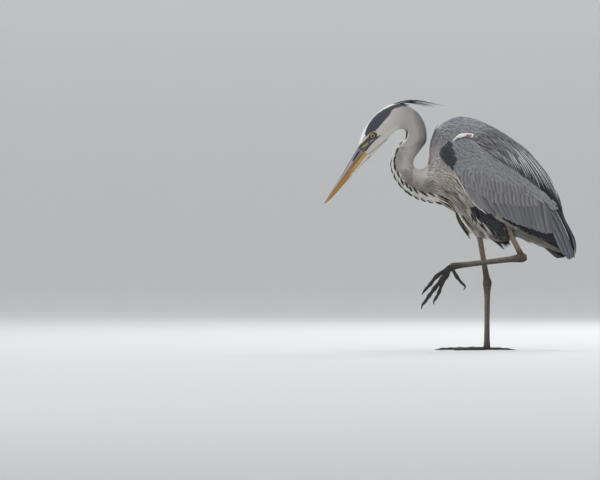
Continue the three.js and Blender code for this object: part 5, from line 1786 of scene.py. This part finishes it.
def scalyMaterial(name, plan):
    # Bare skin and horn: cells and bands in relief, colour from the tint attribute.
    paint, tree, shader = newPaint(name)
    scute = addNode(tree, "ShaderNodeAttribute", {"attribute_name": "scute"}).outputs["Vector"]
    split = addNode(tree, "ShaderNodeSeparateXYZ", None, i0=scute)
    place = objectPlace(tree)
    cell = addCells(tree, place, plan["cells"], 0.16)
    wobble = addNoise(tree, place, plan["mottle"], 4.0, Roughness=0.6)
    stray = mathNode(tree, "MULTIPLY", wobble, plan["wobble"])
    step = mathNode(tree, "DIVIDE", split.outputs[0], plan["band"])
    band = mathNode(tree, "FRACT", mathNode(tree, "ADD", step, stray))
    scale = mathNode(tree, "MINIMUM", mapRange(tree, band, 0.0, 0.16), mapRange(tree, band, 1.0, 0.9))
    front = mapRange(tree, split.outputs[1], 0.15, 0.45)
    relief = addNode(tree, "ShaderNodeMix", {"data_type": "FLOAT"}, i0=front, i2=cell, i3=scale).outputs[0]
    groove = mapRange(tree, relief, 0.0, 1.0, plan["groove"], 1.0)
    light = mathNode(tree, "MULTIPLY", aboutOne(tree, wobble, plan["vary"]), groove)
    tree.links.new(lightened(tree, readTint(tree), light), shader.inputs["Base Color"])
    coarse = addBump(tree, shader, relief, plan["bump"], plan["depth"])
    addBump(tree, shader, wobble, 0.25, 0.0002, Normal=coarse)
    rough = mapRange(tree, wobble, 0.3, 0.7, plan["rough"] - 0.08, plan["rough"] + 0.1)
    tree.links.new(rough, shader.inputs["Roughness"])
    shader.inputs["Specular IOR Level"].default_value = plan["gloss"]
    return paint


bareFinish = {"cells": 900.0, "mottle": 500.0, "band": 2.0, "wobble": 0.2, "vary": 0.15, "groove": 0.75,
              "bump": 0.35, "depth": 0.0003, "rough": 0.5, "gloss": 0.4}
legFinish = {"cells": 430.0, "mottle": 260.0, "band": 3.4, "wobble": 0.35, "vary": 0.26, "groove": 0.42,
             "bump": 0.8, "depth": 0.0006, "rough": 0.52, "gloss": 0.4}
barePaint = scalyMaterial("bareSkin", bareFinish)
legPaint = scalyMaterial("legScales", legFinish)
makeLids()


billPlan = {
    # Stations: x, z on the ridge, x, z on the underside, half width.
    "rows": curveTable([
        (-0.12, -281.5, 448.5, -257, 425.5, 9.9), (0, -284.9, 443.7, -260.7, 421.7, 9.3),
        (1, -301.4, 415.8, -280.5, 401.1, 7.2), (2, -323.4, 378.4, -309.5, 369.6, 4.9),
        (3, -345.4, 343.2, -338.8, 337.0, 2.4), (4, -357.9, 322.5, -356.6, 321.4, 0.7)]),
    "mouth": ((-270.6, 432.3), (-357.5, 321.9)), "around": 40,
    "ridge": tone(112, 120, 138), "side": tone(122, 102, 98), "sideLow": tone(112, 84, 62),
    "light": tone(196, 184, 176), "slit": tone(9, 8, 10), "olive": tone(178, 150, 84),
    # The light tone and the tone of the slit's edge, below, are painted highlights along the side of the
    # upper bill.
    "orange": tone(168, 119, 40), "under": tone(222, 214, 202), "tip": tone(138, 104, 54),
    "base": tone(128, 118, 124), "gape": tone(190, 146, 92), "slitHighlight": tone(170, 172, 185),
}


def billRing(k, upper):
    # One half of the bill at station k: a D with its flat side on the mouth line.
    row = billPlan["rows"](k)
    top, bottom, wide = row[0:2], row[2:4], row[4]
    (x0, z0), (x1, z1) = billPlan["mouth"]
    t = np.linspace(-0.1, 1, 200)
    line = np.stack([x0 + (x1 - x0) * t, z0 + (z1 - z0) * t], axis=-1)
    across = top - bottom
    off = (line - bottom) @ np.array([-across[1], across[0]])
    split = line[np.argmin(np.abs(off))]
    split = bottom + across * np.clip((split - bottom) @ across / (across @ across), 0.12, 0.88)
    gap = unit(across) * 0.18
    mouth, crown = (split + gap, top) if upper else (split - gap, bottom)
    tall = np.linalg.norm(crown - mouth)
    up = (crown - mouth) / tall
    share = abs(np.linalg.norm(split - bottom) / np.linalg.norm(across) - 0.5)
    wide = wide * math.sqrt(max(0.2, 1 - (2 * share) ** 2 * 0.6))
    a = np.linspace(0, math.pi, billPlan["around"])
    power = 1.28 if upper else 1.1  # a keeled ridge above, rounder below
    y = wide * np.sign(np.cos(a)) * np.abs(np.cos(a)) ** 0.9
    rise = tall * np.sin(a) ** power
    groove = np.zeros_like(a)
    if upper:  # the nostril's groove runs forward along the side
        depth = 0.9 * ease(k, -0.3, 0.1) * (1 - ease(k, 1.2, 2.2))
        lean = np.minimum(a, math.pi - a)
        groove = depth * np.exp(-((lean - 0.78) / 0.2) ** 2)
    y = y - np.sign(np.cos(a)) * groove
    inner = np.linspace(-0.85, 0.85, 9)
    y = np.concatenate([y, wide * inner])
    rise = np.concatenate([rise, tall * 0.04 * (1 - inner ** 2) * (1 if upper else -1)])
    a = np.concatenate([a, np.full(9, -0.3)])
    points = np.stack([mouth[0] + up[0] * rise, y, mouth[1] + up[1] * rise], axis=-1)
    return points, a


def makeBill(name, upper):
    ks = np.concatenate([np.linspace(-0.12, 3.8, 88), 4 - 0.2 * np.linspace(0.75, 0, 5) ** 1.5])
    rings = [billRing(k, upper) for k in ks]
    points, angle = (np.array([ring[k] for ring in rings]) for k in (0, 1))
    verts, faces = loftGrid(points)
    mesh = closedMesh(name, verts, faces)
    plan = billPlan
    kg = np.repeat(ks[:, None], angle.shape[1], 1)
    lean = np.degrees(np.where(angle < 0, 0, np.minimum(angle, math.pi - angle)))
    if upper:
        colour = blend(plan["sideLow"], plan["side"], ease(lean, 8, 30))
        colour = blend(colour, plan["orange"], 0.75 * (1 - ease(lean, 4, 22)) * ease(kg, 0.6, 1.4))
        # Painted highlight: a pale band along the side of the ridge, from about the end of the nostril to the
        # tip.
        colour = blend(colour, plan["light"], 0.75 * np.exp(-((lean - 46) / 9) ** 2) * ease(kg, 0.7, 1.1))
        colour = blend(colour, plan["ridge"], ease(lean, 50, 64) * (1 - 0.6 * ease(kg, 1.2, 2.4)))
        colour = blend(colour, plan["base"], 0.6 * (1 - ease(kg, 0.0, 0.5)) * (1 - ease(lean, 40, 60)))
        # Painted highlight: a thin pale blue-grey line along the top of the nostril's slit.
        edge = np.exp(-((lean - 58) / 4.5) ** 2) * ease(kg, 0.02, 0.15) * (1 - ease(kg, 0.9, 1.3))
        colour = blend(colour, plan["slitHighlight"], 0.7 * edge)
        slit = np.exp(-((lean - 44) / 10) ** 4) * ease(kg, 0.02, 0.1) * (1 - ease(kg, 0.84, 0.96))
        slit = slit * np.where(kg > 0.7, 0.75, 1)
        colour = blend(colour, plan["slit"], np.clip(slit * 1.15, 0, 1))
        colour = blend(colour, plan["tip"], 0.7 * ease(kg, 3.2, 3.95))
    else:
        colour = blend(plan["olive"], plan["orange"], ease(kg, 0.7, 1.8))
        colour = blend(colour, plan["gape"], 0.8 * (1 - ease(kg, -0.1, 0.35)))
        edge = 36 + 30 * ease(kg, 0.2, 1.8)
        colour = blend(colour, plan["under"], ease(lean, edge - 6, edge + 6) * (1 - ease(kg, 1.6, 2.2)))
        colour = blend(colour, plan["tip"], 0.8 * ease(kg, 3.0, 3.95))
    setTint(mesh, colour)
    around = np.broadcast_to(np.linspace(0, 1, angle.shape[1]), kg.shape)
    setMap(mesh, "horn", np.stack([around, kg / 4], axis=-1).reshape(-1, 2))
    mesh.materials.append(billPaint)
    return newObject(name, mesh)


def hornMaterial(name, plan):
    # Horn: fine growth lines along the piece, with a low satin gloss.
    paint, tree, shader = newPaint(name)
    uv = addNode(tree, "ShaderNodeUVMap", {"uv_map": "horn"}).outputs["UV"]
    stretch = (plan["lines"], plan["length"], 1.0)
    drawn = addNode(tree, "ShaderNodeMapping", None, Vector=uv, Scale=stretch).outputs[0]
    grain = addNoise(tree, drawn, 1.0, 4.0, Roughness=0.6)
    cloud = addNoise(tree, objectPlace(tree), plan["cloud"])
    clouded = mapRange(tree, cloud, 0.3, 0.7, 0.9, 1.08)
    light = mathNode(tree, "MULTIPLY", aboutOne(tree, grain, plan["vary"]), clouded)
    tree.links.new(lightened(tree, readTint(tree), light), shader.inputs["Base Color"])
    addBump(tree, shader, grain, 0.3, 0.0003)
    rough = mapRange(tree, cloud, 0.3, 0.7, plan["rough"] - 0.06, plan["rough"] + 0.08)
    tree.links.new(rough, shader.inputs["Roughness"])
    shader.inputs["Specular IOR Level"].default_value = plan["gloss"]
    return paint


billFinish = {"lines": 26.0, "length": 7.0, "cloud": 160.0, "vary": 0.1, "rough": 0.4, "gloss": 0.45}
clawFinish = {"lines": 14.0, "length": 5.0, "cloud": 300.0, "vary": 0.14, "rough": 0.36, "gloss": 0.5}
billPaint = hornMaterial("billHorn", billFinish)
clawPaint = hornMaterial("clawHorn", clawFinish)
billUpper = makeBill("billUpper", True)
billLower = makeBill("billLower", False)
print("eyes, lids and bill made")


def makeChinFeathers():
    # Short white feathers run out along the underside of the lower bill.
    groups = []
    for side in sides.values():
        for lean, shift in ((50, 0.0), (67, 0.04), (84, 0.08)):
            ks = np.arange(-0.1, 1.35, 0.12) + shift
            turn = math.radians(lean) if side > 0 else math.pi - math.radians(lean)
            at = int(round(turn / math.pi * (billPlan["around"] - 1)))
            root, tip = (np.array([billRing(k + step, False)[0][at] for k in ks]) for step in (0.0, 0.35))
            middle = np.array([billRing(k, False)[0][:billPlan["around"]].mean(axis=0) for k in ks])
            out = unit(root - middle)
            ts = tipRows(10)
            line = root[:, None] + (tip - root)[:, None] * ts[None, :, None]
            line = line + out[:, None] * (0.1 + 0.6 * ease(ts, 0, 1))[None, :, None]
            half = vaneHalf(ts, np.full(len(ks), 1.4), tipShare=0.6, power=0.8)
            tint = varied(tones["foreNeck"] * 0.86, len(ks), 0.04)
            groups.append((line, np.broadcast_to(out[:, None], line.shape), half, tint, 0.0))
    return makeStrips("chinFeathers", groups, streakPaint, across=2, arch=0.3)


makeChinFeathers()


legPlan = {
    # The lifted leg and the one it stands on: joints, side, girth of the toes, and where the shin darkens.
    "legs": {
        "left": {"knee": (41, -39, 273), "ankle": (77, -40, 203), "foot": (-80, -36, 184), "side": -1,
                 "standing": False, "thick": 1.2, "ankleFrom": 74},
        "right": {"knee": (-19, 24, 272), "ankle": (1.1, 6, 150), "foot": (0, 0, -1), "side": 1,
                  "standing": True, "thick": 1.0, "ankleFrom": 128}},
    "shinDepth": smoothTable([(0, 6.5), (0.6, 6), (0.86, 6.6), (1, 8.4)]),
    "shinWidth": smoothTable([(0, 6), (0.6, 5.2), (0.86, 6), (1, 7.4)]),
    "tarsusDepth": smoothTable([(0, 5.5), (0.03, 8.6), (0.075, 10), (0.13, 8.8), (0.22, 6.8), (0.5, 6),
                                (0.85, 6.4), (0.95, 7.6), (1, 7)]),
    "tarsusWidth": smoothTable([(0, 5), (0.03, 7), (0.075, 8), (0.13, 7.2), (0.22, 5.4), (0.5, 4.8),
                                (0.85, 5.6), (0.95, 7.4), (1, 6.6)]),
    # Each toe: its length, half width at the root, shares of its bones, claw and yaw, and for each foot how
    # far every bone and both halves of the claw dip, in degrees.
    "toes": {
        "middle": {"length": 96, "root": 5.2, "bones": (0.34, 0.28, 0.22, 0.16), "claw": 19, "yaw": 0,
                   "left": (55, 52, 53, 56, 50, 78), "right": (0, 0, 0, 0, 6, 14)},
        "inner": {"length": 76, "root": 4.8, "bones": (0.5, 0.3, 0.2), "claw": 16, "yaw": 37,
                  "left": (34, 50, 47, 50, 60), "right": (0, 0, 0, 6, 14)},
        "outer": {"length": 78, "root": 4.8, "bones": (0.3, 0.25, 0.25, 0.2), "claw": 16, "yaw": -37,
                  "left": (65, 58, 70, 62, 55, 92), "right": (0, 0, 0, 0, 6, 14)},
        "hind": {"length": 44, "root": 4.6, "bones": (0.6, 0.4), "claw": 20, "yaw": 180,
                 "left": (60, 52, 45, 112), "right": (0, 0, 8, 16)}},
    "spread": 0.4, "taper": 0.34, "voxel": 0.95, "smoothing": 3, "soleAt": 0.4, "clawAt": 0.2,
    "shin": tone(143, 123, 106), "ankle": tone(82, 72, 62), "tarsus": tone(95, 90, 79),
    "front": tone(128, 119, 101), "toe": tone(54, 50, 46), "claw": tone(34, 31, 30),
}


def toeJoints(leg, toe, name):
    spread = 1 if leg["standing"] or toe["yaw"] == 180 else legPlan["spread"]
    yaw = math.radians(toe["yaw"] * spread)
    at = np.array(leg["foot"], float)
    laid = lambda share: 0.6 * toe["root"] * (1 - legPlan["taper"] * share)
    if leg["standing"]:
        at[2] = laid(0)
    points = [at.copy()]
    lengths = [share * toe["length"] for share in toe["bones"]] + [toe["claw"] / 2] * 2
    for i, (length, dip) in enumerate(zip(lengths, toe[name])):
        dip = math.radians(dip)
        level = math.cos(dip)
        at = at - length * np.array([level * math.cos(yaw), level * math.sin(yaw) * leg["side"],
                                     math.sin(dip)])
        if leg["standing"]:
            at[2] = laid((i + 1) / len(toe["bones"])) if i < len(toe["bones"]) else max(at[2], 0.6)
        points.append(at.copy())
    return np.array(points)


def toeGrid(points, half, tall, around, count):
    t = np.linspace(0, 1, count)
    line = alongCurve(points, t)
    start = line[1] - line[0]
    across = unit(np.array([-start[1], start[0], 0.0]))
    return t, tubeGrid(line, half(t) * tall, half(t), around, across)


def makeLeg(name):
    leg = legPlan["legs"][name]
    knee, ankle, foot = (np.array(leg[k], float) for k in ("knee", "ankle", "foot"))
    sources = []  # (grid, how far along in millimetres, how far round to the front, which part)

    def add(grid, along, part):
        around = grid.shape[1]
        turn = fullTurn(around)
        front = np.broadcast_to(np.sin(turn)[None], grid.shape[:2])
        sources.append((grid, np.repeat(along[:, None], around, 1), front, part))

    t = np.linspace(0, 1, 40)
    top = knee + (knee - ankle) * 0.12
    grid = tubeGrid(top + (ankle - top) * t[:, None], legPlan["shinDepth"](t), legPlan["shinWidth"](t), 28)
    add(grid, t * np.linalg.norm(ankle - top), 0)
    top = ankle + (ankle - foot) * 0.06
    t = np.linspace(0, 1, 70)
    grid = tubeGrid(top + (foot - top) * t[:, None], legPlan["tarsusDepth"](t), legPlan["tarsusWidth"](t), 28)
    if leg["standing"]:
        grid[..., 2] = np.maximum(grid[..., 2], legPlan["soleAt"])
    add(grid, t * np.linalg.norm(foot - top), 1)
    clawGrids = []
    for toe in legPlan["toes"].values():
        joints = toeJoints(leg, toe, name)
        bones = len(toe["bones"])
        knots = [(i / (2 * bones), toe["root"] * leg["thick"] * (1 - legPlan["taper"] * i / (2 * bones))
                  * (0.8 if i % 2 else 1.08)) for i in range(2 * bones + 1)]
        t, grid = toeGrid(joints[:bones + 1], smoothTable(knots), 0.94, 20, 44)
        if leg["standing"]:
            grid[..., 2] = np.maximum(grid[..., 2], legPlan["soleAt"])
        add(grid, t * toe["length"], 2)
        root = toe["root"] * 0.58
        half = smoothTable([(0, root * 0.9), (0.12, root), (0.5, root * 0.66), (0.85, root * 0.32), (1, 0.3)])
        t, grid = toeGrid(joints[bones:], half, 1.15, 16, 22)
        if leg["standing"]:
            grid[..., 2] = np.maximum(grid[..., 2], legPlan["clawAt"])
        clawGrids.append((t, grid))

    verts, faces = joinGrids([source[0] for source in sources])
    notes = np.concatenate([faceNotes(np.stack([along, front, np.full(along.shape, part)], axis=-1))
                            for grid, along, front, part in sources])
    tree = BVHTree.FromPolygons([tuple(v) for v in verts], faces)
    pieceName = name + "Leg"
    piece = newObject(pieceName, closedMesh(pieceName, verts, faces))
    addRemesh(piece, legPlan["voxel"])
    addRelax(piece, legPlan["smoothing"])
    made = applyModifiers(piece)
    piece.data = made
    made.name = pieceName
    along, front, part = notes[nearestFaces(tree, readPoints(made))].T
    plan = legPlan
    colour = blend(plan["shin"], plan["ankle"], (part == 0) * ease(along, 60, leg["ankleFrom"]))
    colour = np.where((part == 1)[:, None], blend(plan["ankle"], plan["tarsus"], ease(along, 14, 36)), colour)
    colour = blend(colour, plan["front"], 0.6 * (part == 1) * ease(front, 0.2, 0.8) * ease(along, 20, 50))
    colour = blend(colour, plan["toe"], (part == 1) * ease(along, 120, 158) * 0.8)
    colour = np.where((part == 2)[:, None], plan["toe"], colour)
    # Painted shade: the shank and the toes are darker on the side away from their front.
    colour = colour * (1 - 0.45 * ease(-front, 0.1, 0.8) * (part > 0))[:, None]
    setTint(made, colour)
    scute = np.stack([along, np.where(part > 0, front, 0), part], axis=-1)
    setAttribute(made, "scute", "FLOAT_VECTOR", "POINT", scute)
    shadeSmooth(made)
    made.materials.clear()
    made.materials.append(legPaint)

    verts, faces = joinGrids([grid for t, grid in clawGrids])
    horn = np.concatenate([np.stack(np.meshgrid(np.linspace(0, 1, grid.shape[1]), t), axis=-1).reshape(-1, 2)
                           for t, grid in clawGrids])
    clawName = name + "Claws"
    mesh = closedMesh(clawName, verts, faces)
    tint = blend(plan["claw"] * 0.8, plan["claw"] * 1.6, ease(horn[:, 1], 0.1, 1))
    setTint(mesh, tint)
    setMap(mesh, "horn", horn)
    mesh.materials.append(clawPaint)
    print(pieceName, "has", len(made.polygons), "faces")
    return piece, newObject(clawName, mesh)


legs = {name: makeLeg(name) for name in sides}

skinFinish = {"mottle": 500.0, "pores": 700.0, "vary": 0.08, "bump": 0.35, "depth": 0.0004, "rough": 0.8,
              "bareRough": 0.45}


def paintUnderCoat():
    # Down between the tufts: soft streaks in relief, with the coat's own colours.
    paint, tree, shader = newPaint("underDown")
    bare = addNode(tree, "ShaderNodeAttribute", {"attribute_name": "bare"}).outputs["Fac"]
    place = objectPlace(tree)
    noise = addNoise(tree, place, skinFinish["mottle"], 4.0)
    pore = addCells(tree, place, skinFinish["pores"], 0.2)
    relief = addNode(tree, "ShaderNodeMix", {"data_type": "FLOAT"}, i0=bare, i2=noise, i3=pore).outputs[0]
    light = mapRange(tree, relief, 0.2, 0.8, 1 - skinFinish["vary"], 1 + skinFinish["vary"])
    tree.links.new(lightened(tree, readTint(tree), light), shader.inputs["Base Color"])
    addBump(tree, shader, relief, skinFinish["bump"], skinFinish["depth"])
    rough = mapRange(tree, bare, 0.0, 1.0, skinFinish["rough"], skinFinish["bareRough"])
    tree.links.new(rough, shader.inputs["Roughness"])
    skin.data.materials.clear()
    skin.data.materials.append(paint)


paintUnderCoat()
for spare in [piece for piece in bpy.data.objects if piece.name.endswith("Vane")]:
    bpy.data.objects.remove(spare)

flesh = ["head", "neck_upper", "neck_middle", "neck_lower", "neck_fold", "trunk", "breast_plumes", "mantle",
         "wing_left", "wing_right", "thigh_left", "thigh_right"]
standing = [(skin, flesh), (tailFeathers, ["tail"]), (primaries, ["primaries_left", "primaries_right"]),
            (crest, ["crest_left", "crest_right"]), (eyes, ["eye_left", "eye_right"]),
            (billUpper, ["bill_upper"]), (billLower, ["bill_lower"])]
for name, (leg, claws) in legs.items():
    nodes = [node for node in frame["nodes"] if node.endswith("_" + name) or ("_" + name + "_") in node]
    clawNodes = [node for node in nodes if node.startswith("claw")]
    legNodes = [node for node in nodes if node.startswith(("shin", "tarsus", "toe"))]
    standing += [(leg, legNodes), (claws, clawNodes)]
for piece in bpy.context.scene.objects:
    if piece.type == "MESH" and piece.name != "floor" and piece.name not in frame["nodes"]:
        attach(piece, "root")
for piece, nodes in standing:
    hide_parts(*nodes)
